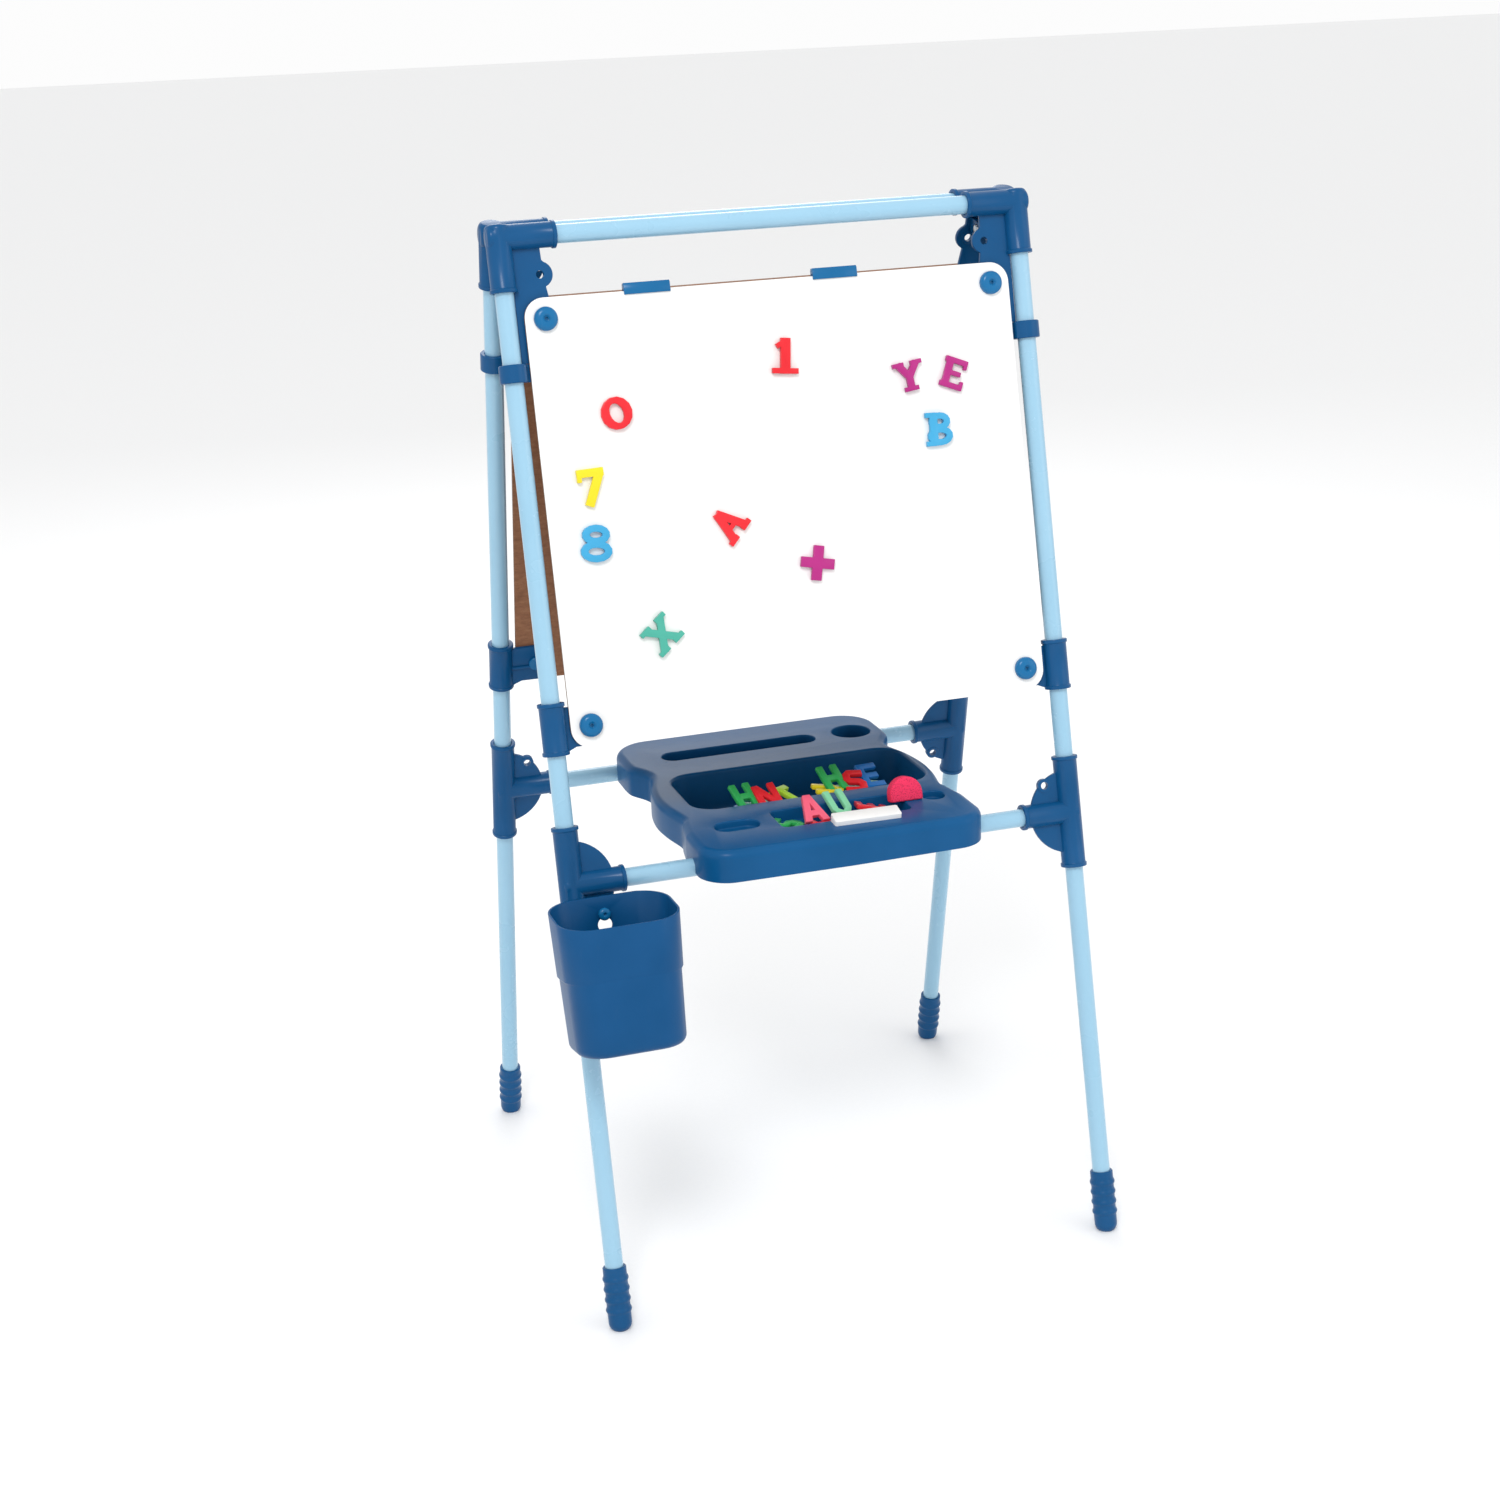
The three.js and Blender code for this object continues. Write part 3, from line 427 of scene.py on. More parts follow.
def hardboard():
    f = Finish("hardboard", Specular_IOR_Level=0.3)
    fibre = f.noise(260, 6, 0.7, f.stretch(0.35, 1, 1))
    fleck = f.mask(f.noise(900, 3, 0.7, f.stretch(0.5, 1, 0.5)), 0.58, 0.7)
    cloud = f.noise(12, 3)
    colour = f.ramp(fibre, (0.3, (0.17, 0.072, 0.035)), (0.55, (0.28, 0.125, 0.062)), (0.8, (0.38, 0.19, 0.1)))
    colour = f.blend(fleck * 0.5, colour, (0.12, 0.05, 0.028))
    colour = f.blend(cloud * 0.3, colour, (0.36, 0.18, 0.1))
    return f.wear(Base_Color=colour, Roughness=fibre * 0.2 + 0.55, Normal=f.bump(fibre, 0.25, 0.3 * mm))


def chalk_face():
    f = Finish("chalk_face", Specular_IOR_Level=0.25)
    drag = f.noise(18, 6, 0.65, f.stretch(0.35, 1, 1.6))
    dust = f.mask(drag, 0.45, 0.8)
    tooth = f.noise(1500, 3, 0.7)
    colour = f.blend(dust * 0.3, (0.012, 0.02, 0.018), (0.13, 0.15, 0.145))
    colour = f.blend(f.mask(tooth, 0.55, 0.8) * dust * 0.5, colour, (0.42, 0.43, 0.42))
    return f.wear(Base_Color=colour, Roughness=dust * 0.15 + 0.72, Normal=f.bump(tooth, 0.3, 0.2 * mm))


def bare_steel():
    f = Finish("bare_steel", Metallic=1.0)
    brush = f.noise(600, 3, 0.6, f.stretch(1, 8, 8))
    colour = f.blend(brush, (0.42, 0.43, 0.44), (0.6, 0.61, 0.62))
    return f.wear(Base_Color=colour, Roughness=brush * 0.2 + 0.25, Normal=f.bump(brush, 0.1, 0.1 * mm))


def foam(name, colour):
    f = Finish(name, Specular_IOR_Level=0.2)
    cells = f.node("ShaderNodeTexVoronoi", {}, Vector=f.place, Scale=650.0)
    pores_and_painted_shade = f.mask(cells, 0.1, 0.5)
    # The pore centres are painted darker, as painted shade inside the holes. The same mask also gives the pores their
    # roughness and bump.
    body = f.blend(pores_and_painted_shade, tuple(c * 0.55 for c in colour), colour)
    return f.wear(Base_Color=body, Roughness=pores_and_painted_shade * 0.1 + 0.8, Normal=f.bump(pores_and_painted_shade, 0.6, 0.5 * mm))


blue = (0.001, 0.072, 0.205)
finishes = {
    "tube": tube_paint(),
    "fitting": moulded_plastic("fitting_plastic", blue, gloss=0.27, coat=0.18),
    "tray": moulded_plastic("tray_plastic", (0.001, 0.078, 0.22), gloss=0.3, grain=0.12, coat=0.06),
    "bucket": moulded_plastic("bucket_plastic", (0.001, 0.068, 0.2), gloss=0.3, coat=0.1),
    "knob": moulded_plastic("knob_plastic", (0.002, 0.13, 0.32), gloss=0.18, grain=0.04, coat=0.3),
    "clip": moulded_plastic("clip_plastic", (0.002, 0.12, 0.3), gloss=0.2, grain=0.06, coat=0.3),
    "white": white_lacquer(),
    "hardboard": hardboard(),
    "chalk": chalk_face(),
    "steel": bare_steel(),
}
toy_colours = {
    "red": (0.75, 0.02, 0.03), "pink": (0.85, 0.12, 0.2), "yellow": (0.85, 0.68, 0.02), "lime": (0.42, 0.72, 0.05),
    "green": (0.03, 0.42, 0.1), "mint": (0.2, 0.58, 0.33), "teal": (0.07, 0.40, 0.31), "sky": (0.05, 0.36, 0.63),
    "blue": (0.01, 0.16, 0.5), "purple": (0.25, 0.04, 0.33), "magenta": (0.42, 0.02, 0.2), "white": (0.85, 0.85, 0.84),
}
for word, colour in toy_colours.items():
    finishes[word] = moulded_plastic(f"toy_{word}", colour, gloss=0.3, grain=0.1, coat=0.3)
finishes["sponge"] = foam("sponge_foam", (0.85, 0.04, 0.12))
print("finishes:", len(finishes))

# %% [markdown]
# Every finished piece goes through one last hand. It gives the piece its finish and its slot, seats it on the body
# that carries it, and hides the plain node that it stands for.

# %% Seating a piece
def seat(piece, finish, body, node=None, angle=32):
    smooth(piece, angle)
    piece.data.materials.clear()
    piece.data.materials.append(finishes[finish])
    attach(piece, body)
    if node:
        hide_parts(node)
    return piece


def side_name(side, easel_side):
    return "right" if (side > 0) == (easel_side == "front") else "left"


def seat_fittings(model, what, node_word, easel_sides=("front", "rear"), over=None):
    """Copies a fitting to the right and left legs. The left one is mirrored, or turned over at a height if over."""
    for easel_side in easel_sides:
        for side in (1, -1):
            word = side_name(side, easel_side)
            across = Matrix.Scale(side, 4, (1, 0, 0))
            if over is not None and side < 0:
                across = (Matrix.Translation((0, 0, over)) @ rotation(180, "Y")
                          @ Matrix.Translation((0, 0, -over)))
            piece = lay(twin(model, f"{what}_{easel_side}_{word}"), spaces[easel_side] @ across)
            seat(piece, "fitting", f"{easel_side}_frame", f"{easel_side}_{word}_{node_word}")
    print(what, "x", 2 * len(easel_sides), "with", len(model.data.polygons), "faces each")
    bpy.data.objects.remove(model)


# %% [markdown]
# ## Tubes
# A tube is a wall spun about its axis, with its mouths just broken by a small round. The two ends come from the plain
# node, so the finished tube seats in its sockets exactly as the frame does.

# %% Painted tubes
tube_radius = 9.5 * mm
tube_wall = 1 * mm


def tube(name, node, body):
    low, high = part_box(node)
    centre = (low + high) / 2
    along_x = high.x - low.x > high.z - low.z
    direction = Vector((1, 0, 0)) if along_x else up_leg.copy()
    if not along_x and centre.y > 0:
        direction.y = -direction.y
    length = (high.x - low.x) if along_x else (high.z - low.z - 2 * tube_radius * abs(direction.y)) / direction.z
    half, lip, inner = length / 2, 0.3 * mm, tube_radius - tube_wall
    profile = [(inner, -half), (tube_radius - lip, -half), (tube_radius, lip - half), (tube_radius, half - lip),
               (tube_radius - lip, half), (inner, half), (inner, -half)]
    piece = turned(name, profile, 56)
    lay(piece, Matrix.Translation(centre) @ direction.to_track_quat("Z", "Y").to_matrix().to_4x4())
    return seat(piece, "tube", body, node)


for easel_side in spaces:
    for word in ("top_rail", "cross_tube", "left_upper_leg", "right_upper_leg", "left_lower_leg", "right_lower_leg"):
        tube(f"tube_{easel_side}_{word}", f"{easel_side}_{word}", f"{easel_side}_frame")
print("tubes: 12")

# %% [markdown]
# ## Fittings
# All the fittings grow from the same socket: a wall round the tube with a collar moulded at its mouth, which stiffens
# the edge that the tube is pushed through. Sockets are spun solid, joined with the webs, and bored last. A bore that
# is cut after the joining leaves no two surfaces lying on each other, which is what an exact boolean can't sort out.

# %% The socket
bore = tube_radius + 0.3 * mm
socket_radius = 12.8 * mm
flange_radius = 14 * mm
flange_width = 4 * mm
plate = 4.5 * mm
plate_front = 0.3 * mm
tube_end = 14 * mm
tee_wall = 5.5 * mm
snug = 0.15 * mm  # how much slimmer the crossing socket is, so that no two walls lie on each other
screw_hole, rivet_hole = 2.9 * mm, 3.3 * mm


def flange(end, away, slim=0.0):
    """The outside of a socket's mouth at a height. away is +1 or -1 into the socket."""
    edge, wide, outside = 0.7 * mm, flange_radius - slim, socket_radius - slim
    return [(wide - edge, end), (wide - edge * 0.3, end + away * edge * 0.3), (wide, end + away * edge),
            (wide, end + away * (flange_width - 0.6 * mm)),
            (wide - 0.35 * mm, end + away * (flange_width - 0.15 * mm)),
            (outside + 0.25 * mm, end + away * (flange_width + 0.1 * mm)),
            (outside, end + away * (flange_width + 0.6 * mm))]


def blind_socket(name, length, end, slim=0.0):
    """A solid socket from its mouth at -length up to an end with a round edge. slim makes it a little thinner."""
    turn, outside = 4.5 * mm, socket_radius - slim
    edge = [(outside - turn * (1 - math.cos(t)), end - turn * (1 - math.sin(t)))
            for t in angles(0, 91, 15)]
    return turned(name, [(0, -length), *flange(-length, 1, slim), *edge, (0, end)])


def through_socket(name, low, high):
    """A solid socket with a flange at both ends."""
    return turned(name, [(0, low), *flange(low, 1), *flange(high, -1)[::-1], (0, high)])


def bore_cutter(mouth, stop):
    """The way of a tube in from a mouth to a stop, along Z, with a small lead-in at the mouth."""
    away = 1 if stop > mouth else -1
    lead = 0.7 * mm
    profile = [(0, mouth - away * lead), (bore + 2 * lead, mouth - away * lead), (bore, mouth + away * lead),
               (bore, stop), (0, stop)]
    return turned("bore", profile[::away], 48)


def plate_of(name, points, y=(plate_front, plate_front + plate), edge=0.7 * mm):
    """A flat web drawn in X and Z, with its edges rounded."""
    return soften(slab(name, in_xz(points, y[0]), (0, y[1] - y[0], 0)), edge, 2, 50)


def boss(name, x, z, radius, y):
    """A low rounded ring of plastic round a hole."""
    edge = 0.6 * mm
    ring = turned(name, [(0, y[0]), (radius, y[0]), (radius, y[1] - edge), (radius - edge * 0.3, y[1] - edge * 0.3),
                         (radius - edge, y[1]), (0, y[1])], 40)
    return lay(ring, Matrix.Translation((x, 0, z)) @ rotation(-90, "X"))


def inside(inward):
    return leg_x - inward


def web_hole(radius, inward, down):
    """Goes right through the web, from 8 mm in front of it to 12 mm behind."""
    return pin("hole", radius, (inside(inward), -8 * mm, -down), (inside(inward), 12 * mm, -down))


def leg_bore(low, high):
    return pin("bore", bore, (leg_x, 0, low - 1 * mm), (leg_x, 0, high + 1 * mm), 48)


print("socket", socket_radius, "flange", flange_radius)

# %% [markdown]
# The elbow holds the top rail and the leg, with a web across the corner. The web carries the pierced lobe beside the
# board, the screw place of the upper knob behind the board, and a tail that runs down to the collar. A small ear
# stands behind it and takes the hinge pin. The real one is a single moulding, so the parts are joined into one.

# %% Elbows
elbow_leg, elbow_rail = 54 * mm, 57 * mm
crown_up, crown_out = 12.6 * mm, 12.3 * mm
tail_in, band_in = 17.5 * mm, 10.5 * mm
lobe = (38 * mm, 38 * mm)
lobe_radius = 13 * mm
hole_radius = 4 * mm
knob_in, knob_down = 37.6 * mm, {"upper": 82 * mm, "lower": 486.5 * mm}
collar_top, collar_length = 124 * mm, 18 * mm
hinge = Vector(joint("fold")["pos_m"])
pivot = front_space.inverted() @ hinge
ear_width, ear_radius = 6 * mm, 8 * mm
ear_in = {"front": 24 * mm, "rear": 30.5 * mm}


def elbow_web():
    low = knob_down["upper"] + 14 * mm
    points = [(inside(tube_radius), 0), (inside(lobe[0] + 2 * mm), 0)]
    points += [(inside(lobe[0] + 3 * mm), -(lobe[1] - lobe_radius - 1 * mm))]
    points += arc(inside(lobe[0]), -lobe[1], lobe_radius, 112, 248, 14)
    points += [(inside(knob_in + 8 * mm), -(61 + 5) * mm), (inside(knob_in + 8 * mm), -low)]
    points += [(inside(knob_in - 9 * mm), -low), (inside(tail_in), -(low + 12 * mm))]
    points += [(inside(tail_in), -(collar_top - 0.3 * mm)), (inside(bore + 0.4 * mm), -(collar_top - 0.3 * mm))]
    points += [(inside(bore + 0.4 * mm), -elbow_leg + 1 * mm), (inside(tube_radius), -elbow_leg + 1 * mm)]
    return plate_of("elbow_web", points)


def ear(start):
    low, high = pivot.z - ear_radius, pivot.z + ear_radius
    points = [(1 * mm, low), *arc(pivot.y, pivot.z, ear_radius, -90, 90, 14), (1 * mm, high)]
    body = slab("ear", [(inside(start), y, z) for y, z in points], (-ear_width, 0, 0))
    return soften(body, 0.5 * mm, 2, 50)


def elbow(easel_side):
    corner = Matrix.Translation((leg_x, 0, 0))
    sideways = corner @ rotation(90, "Y")
    leg = lay(blind_socket("elbow", elbow_leg, crown_up), corner)
    across = lay(blind_socket("across", elbow_rail, crown_out, snug), sideways)
    lobe_boss = boss("boss", inside(lobe[0]), -lobe[1], hole_radius + 3 * mm,
                     (0.9 * mm, plate_front + plate + 0.6 * mm))
    body = join(leg, across, elbow_web(), lobe_boss, ear(ear_in[easel_side]))
    holes = [lay(bore_cutter(-elbow_leg, -tube_end), corner), lay(bore_cutter(-elbow_rail, -tube_end), sideways),
             web_hole(hole_radius, *lobe), web_hole(screw_hole, knob_in, knob_down["upper"]),
             pin("hole", rivet_hole, (inside(46 * mm), pivot.y, pivot.z), (inside(15 * mm), pivot.y, pivot.z))]
    return cut(body, *holes)


for easel_side in spaces:
    seat_fittings(elbow(easel_side), "elbow", "elbow", (easel_side,))

# %% [markdown]
# The collar below the elbow is a plain band round the leg with a small block where the elbow's tail ends. The board
# bracket is the same band made longer, with a plate that reaches behind the board to take the lower knob.

# %% Collars and board brackets
bracket_top, bracket_bottom = 460 * mm, (460 + 53) * mm


def collar():
    low, high = -collar_top - collar_length, -collar_top
    edge, outer = 0.8 * mm, flange_radius
    ring = turned("collar", [(0, low), (outer - edge, low), (outer, low + edge), (outer, high - edge),
                             (outer - edge, high), (0, high)])
    lay(ring, Matrix.Translation((leg_x, 0, 0)))
    low, high = low + 0.15 * mm, high - 0.15 * mm
    block = [(inside(tail_in), low), (inside(band_in), low), (inside(band_in), high), (inside(tail_in), high)]
    join(ring, plate_of("block", block))
    return cut(ring, leg_bore(low, high))


def board_bracket():
    low, high = -bracket_bottom, -bracket_top
    body = lay(through_socket("bracket", low, high), Matrix.Translation((leg_x, 0, 0)))
    points = [(inside(band_in), high - 6 * mm), (inside(knob_in + 10 * mm), high - 6 * mm),
              (inside(knob_in + 10 * mm), low + 6 * mm), (inside(22 * mm), low + 6 * mm),
              (inside(band_in), low + 1 * mm)]
    rib = [(inside(10.6 * mm), low + 25 * mm), (inside(knob_in + 9 * mm), low + 25 * mm),
           (inside(knob_in + 9 * mm), low + 22 * mm), (inside(10.6 * mm), low + 22 * mm)]
    back = (plate_front + plate - 0.2 * mm, plate_front + plate + 2 * mm)
    join(body, plate_of("plate", points), plate_of("rib", rib, back, 0.4 * mm))
    return cut(body, web_hole(screw_hole, knob_in, knob_down["lower"]), leg_bore(low, high))


seat_fittings(collar(), "collar", "collar")
seat_fittings(board_bracket(), "bracket", "board_bracket")

# %% [markdown]
# The tee joins the upper leg, the lower leg and the cross tube. A half-round web stiffens it. One half of the web has
# a hole with a thick boss, where a bucket's knob can go. It is one moulding, turned over for the other leg, so the
# hole is above the cross tube on one side and below it on the other.

# %% Tees
tee_cross = 55.5 * mm
tee_reach = 60 * mm
tee_hole = (27 * mm, 31 * mm)
tee_web = 45 * mm
tee_arm_end = 9 * mm


def tee():
    """The tee about its own crossing, with X towards the outside of the easel."""
    body = through_socket("tee", -tee_reach, tee_reach)
    sideways = rotation(90, "Y")
    arm = lay(blind_socket("arm", tee_cross, tee_arm_end, snug), sideways)
    disc = plate_of("disc", arc(0, 0, tee_web, 90, 270, 28), (-plate / 2, plate / 2), 0.8 * mm)
    x, z = -tee_hole[0], tee_hole[1]
    ring = boss("ring", x, z, hole_radius + 3.4 * mm, (-3 * mm, 3 * mm))
    join(body, arm, disc, ring)
    return cut(body, pin("hole", hole_radius, (x, -8 * mm, z), (x, 8 * mm, z)),
               bore_cutter(tee_reach, tee_wall), bore_cutter(-tee_reach, -tee_wall),
               lay(bore_cutter(-tee_cross, -tube_end), sideways))


seat_fittings(lay(tee(), Matrix.Translation((leg_x, 0, -cross_down))), "tee", "tee", over=-cross_down)

# %% [markdown]
# The feet are soft mouldings pushed on the leg ends, with four grip rings and a round tip. The profile is spun with
# each ring as a small wave, and a bisect along the floor leaves the flat on which the foot stands.

# %% Feet
foot_length, foot_radius, ring_radius = 66 * mm, 12.3 * mm, 13.6 * mm
foot_top = -leg_length + foot_length
foot_bore = 44 * mm
ring_low, ring_pitch, ring_reach = 45.5, 11, 4.2 * mm


def foot():
    tip = -leg_length - 4 * mm
    point = [(12.2 * mm * math.sin(t), tip + 11 * mm * (1 - math.cos(t)))
             for t in angles(0, 91, 10)]
    rings = []
    for i in range(4):
        middle_z = foot_top - (ring_low - ring_pitch * i) * mm
        for t in range(-90, 91, 18):
            wave = 0.5 + 0.5 * math.cos(math.radians(2 * t))
            rings.append((foot_radius + (ring_radius - foot_radius) * wave, middle_z + t / 90 * ring_reach))
    top = [(foot_radius, foot_top - 1 * mm), (foot_radius - 0.8 * mm, foot_top), (bore, foot_top),
           (bore, foot_top - foot_bore), (0, foot_top - foot_bore)]
    body = turned("foot", [*point, *rings, *top])
    open_up(body)
    floor_normal = Matrix.Rotation(lean, 3, "X") @ Vector((0, 0, 1))
    bpy.ops.mesh.bisect(plane_co=(0, 0, -leg_length), plane_no=floor_normal, use_fill=True, clear_inner=True)
    edit(False)
    return lay(body, Matrix.Translation((leg_x, 0, 0)))


seat_fittings(foot(), "foot", "foot")

# %% [markdown]
# ## Boards
# The board sheets are flat and thin, and the frame's own nodes already have their true outline, holes and thickness,
# so they only take their finishes. The chalk side gets one more piece: the painted face as a thin skin that lies on
# the outside of its sheet, since the inside of that sheet is bare hardboard.

# %% Boards
def dress(node, finish):
    nodes[node].data.materials.clear()
    nodes[node].data.materials.append(finishes[finish])


dress("whiteboard_panel", "white")
dress("whiteboard_backing", "hardboard")
dress("chalkboard_panel", "hardboard")
board_half, board_low, board_high, board_corner = 258 * mm, -509 * mm, -61 * mm, 20 * mm
board_front = -4.3 * mm
chalk_high = board_high - 8 * mm
skin_in = 0.4 * mm
skin_outline = rounded(-board_half + skin_in, board_half - skin_in, board_low + skin_in, chalk_high - skin_in,
                       board_corner)
skin = plate_of("chalk_skin", skin_outline, (board_front - 0.25 * mm, board_front - 0.02 * mm), 0.08 * mm)
lay(skin, rear_space)
seat(skin, "chalk", "rear_frame")
print("chalk skin", [round(v, 3) for v in skin.dimensions])

# %% [markdown]
# ## Knobs
# A knob is a round moulded head on a screw. The head is a low dome with a dished centre and a socket for the fitting
# tool. The dome and dish are one spun profile, and the socket is a six-sided cut.

# %% Knobs
nut_radius, nut_tall, screw_shank = 7.5 * mm, 3 * mm, 2.6 * mm


def knob(name, head, height, front, back, shank):
    """A knob along Y: the head in front of front, its shank through to a nut behind back."""
    dome = [(head, 0), (head, height * 0.34)]
    dome += [(head - head * 0.5 * (1 - math.cos(t)), height * (0.34 + 0.62 * math.sin(t)))
             for t in angles(10, 91, 10)]
    dish = [(head * 0.36, height * 0.98), (head * 0.28, height * 0.9), (head * 0.2, height * 0.72),
            (head * 0.1, height * 0.66), (0, height * 0.66)]
    depth = back - front
    nut = [(0, -depth - nut_tall), (7 * mm, -depth - nut_tall), (nut_radius, -depth - 2.5 * mm), (nut_radius, -depth),
           (shank, -depth), (shank, 0)]
    body = turned(name, [*nut, *dome, *dish], 48)
    socket = moulded("socket", at_z(arc(0, 0, head * 0.17, 0, 360, 6)[:-1], height * 0.4), [(0, height * 0.5)])
    cut(body, socket)
    return lay(body, Matrix.Translation((0, front, 0)) @ rotation(90, "X"))


knob_model = knob("knob", 12 * mm, 7.5 * mm, board_front - 0.3 * mm, plate_front + plate + 0.3 * mm, screw_shank)
for easel_side, board in (("front", "whiteboard"), ("rear", "chalkboard")):
    for height, down in knob_down.items():
        for side in (1, -1):
            word = f"{board}_knob_{height}_{side_name(side, easel_side)}"
            piece = lay(twin(knob_model, f"{word}_turned"),
                        spaces[easel_side] @ Matrix.Translation((side * inside(knob_in), 0, -down)))
            seat(piece, "knob", f"{easel_side}_frame", word)
bpy.data.objects.remove(knob_model)
print("knobs: 8")

# %% [markdown]
# ## Hinge pins, clips and magnets
# The hinge pin is a rivet with two low domed heads. The clips and the magnetic letters have the right outline in the
# frame already, but their edges are razor sharp there. Each is copied, its loose triangles are merged back into flat
# faces, and the edges are then rounded as a mould would leave them.

# %% Pins, clips and magnets
def rounded_copy(node, name, width, segments=2):
    piece = twin(nodes[node], name)
    for key in [k for k in piece.keys() if k.startswith("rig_")]:
        del piece[key]
    piece.parent = None
    hold(piece)
    edit(True)
    bpy.ops.mesh.select_mode(type="VERT")
    tidy_normals()
    bpy.ops.mesh.dissolve_limited(angle_limit=math.radians(1))
    edit(False)
    return soften(piece, width, segments, 40)


def rivet(name, node):
    low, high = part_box(node)
    length, head, shank = high.x - low.x, 5.5 * mm, 3 * mm
    cap = [(head * math.sin(math.radians(a)), 2.5 * mm * math.cos(math.radians(a))) for a in range(0, 91, 15)]
    bottom = [(r, length * -0.5 + 2.5 * mm - h) for r, h in cap]
    top = [(r, length * 0.5 - 2.5 * mm + h) for r, h in reversed(cap)]
    bottom[0], top[-1] = (0, -length / 2), (0, length / 2)
    piece = turned(name, [*bottom, (shank, bottom[-1][1]), (shank, top[0][1]), *top], 32)
    return lay(piece, Matrix.Translation(middle(node)) @ rotation(90, "Y"))


for side in ("left", "right"):
    seat(rivet(f"hinge_rivet_{side}", f"hinge_pin_{side}"), "steel", "front_frame", f"hinge_pin_{side}")
    clip = rounded_copy(f"paper_clip_{side}", f"clip_{side}", 0.45 * mm)
    seat(clip, "clip", f"paper_clip_{side}", f"paper_clip_{side}")

magnet_finish = {"magnet_1": "red", "magnet_0": "red", "magnet_a": "red", "magnet_7": "yellow", "magnet_8": "sky",
                 "magnet_b": "sky", "magnet_plus": "magenta", "magnet_x": "teal", "magnet_y": "magenta",
                 "magnet_e": "magenta"}
for node, word in magnet_finish.items():
    seat(rounded_copy(node, f"{node}_toy", 0.7 * mm), word, "front_frame", node)
print("magnets:", len(magnet_finish))

# %% [markdown]
# ## The tray
# The tray is one thin-walled moulding that rests across both cross tubes. Its outline is waisted at the sides. The
# deck turns down into a skirt through a soft round. The outer form and the hollow under it are pulled from the same
# outline, so the wall keeps one thickness.

# %% Tray outline and its rounds
tray_low, tray_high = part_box("tray")
tray_x = (tray_low.x + tray_high.x) / 2
half = (tray_high.x - tray_low.x) / 2
deck = tray_high.z
skirt_low = cross.z - 3.5 * mm
front_y, rear_y = tray_low.y, tray_high.y
cross_y = -cross.y


def through(points, count=5):
    """A smooth line through points, in the way of a bent spline."""
    padded = [points[0], *points, points[-1]]
    line = []
    for a, b, c, d in zip(padded, padded[1:], padded[2:], padded[3:]):
        for i in range(count):
            t = i / count
            line.append(tuple(0.5 * (2 * q + (r - p) * t + (2 * p - 5 * q + 4 * r - s) * t * t
                                     + (3 * q - p - 3 * r + s) * t ** 3) for p, q, r, s in zip(a, b, c, d)))
    return line + [points[-1]]


def tray_outline():
    side = [(0.5, -(cross_y / mm - 22)), (6, -106), (8, -92), (2, -58), (0, -24), (5, 14), (15, 48), (13, 64), (2, 86),
            (0, 106)]
    right = through([(half - i * mm, y * mm) for i, y in side])
    rear_round, front_round = 42 * mm, 34 * mm
    front_right = arc(half - front_round, front_y + front_round + 2 * mm, front_round, -90, 0, 12)
    rear_right = arc(half - rear_round, rear_y - rear_round, rear_round, 0, 90, 14)
    points = [(0, front_y), *front_right[:-1], *right, *rear_right[1:]]
    left = [(-x, y) for x, y in reversed(points[1:])]
    return [(x + tray_x, y) for x, y in points + left]


def quarter(radius, outward=False, count=5):
    """Steps of a round: (how far in, how far on). It starts flat and ends steep, or the other way if outward."""
    turns = [math.radians(90 * i / count) for i in range(count + 1)]
    if outward:
        at = [(radius * (1 - math.cos(t)), radius * math.sin(t)) for t in turns]
    else:
        at = [(radius * math.sin(t), radius * (1 - math.cos(t))) for t in turns]
    return [(b[0] - a[0], b[1] - a[1]) for a, b in zip(at, at[1:])]


def sunk(name, outline, depth, lip=2 * mm, base=3 * mm, draft=0.6 * mm):
    """A pocket as a solid to cut with. It opens softly at the deck and has a round floor edge."""
    steps = [*quarter(lip), (draft, depth - lip - base), *quarter(base, outward=True)]
    return moulded(name, at_z(outline, deck + 0.05 * mm), steps, (0, 0, -1))


outline = tray_outline()
print("tray outline points:", len(outline), "half width", round(half, 4))

# %% [markdown]
# The basin hangs below the deck as a drafted box with wide corners. The pencil slot, the cup hole and the three front
# recesses are sunk into the deck, each with its own wall below. Two grooves let the cross tubes in from beneath.

# %% The tray itself
wall = 3 * mm
deck_round = 9 * mm
outer = moulded("tray_shell", at_z(outline, skirt_low),
                [(0, deck - skirt_low - deck_round), *quarter(deck_round, outward=True, count=8)])
under = draw("under", at_z(outline, skirt_low - 2 * mm), fill=True)
bpy.ops.mesh.inset(thickness=wall, use_even_offset=True)
bpy.ops.mesh.select_all(action="INVERT")
bpy.ops.mesh.delete(type="FACE")
pick_all()
pull((0, 0, deck - skirt_low + 2 * mm - deck_round))
for inward, onward in quarter(deck_round - wall, outward=True):
    bpy.ops.mesh.inset(thickness=inward, use_even_offset=True)
    bpy.ops.transform.translate(value=(0, 0, onward))
close_up()
cut(outer, under)

basin_x, basin_y = tray_x + 8 * mm, -21 * mm
basin_half, basin_reach, basin_deep = 134 * mm, 59 * mm, 46 * mm


def basin_outline(grow, radius=27 * mm):
    x, y = basin_half + grow, basin_reach + grow
    return rounded(basin_x - x, basin_x + x, basin_y - y, basin_y + y, radius + grow, 9)


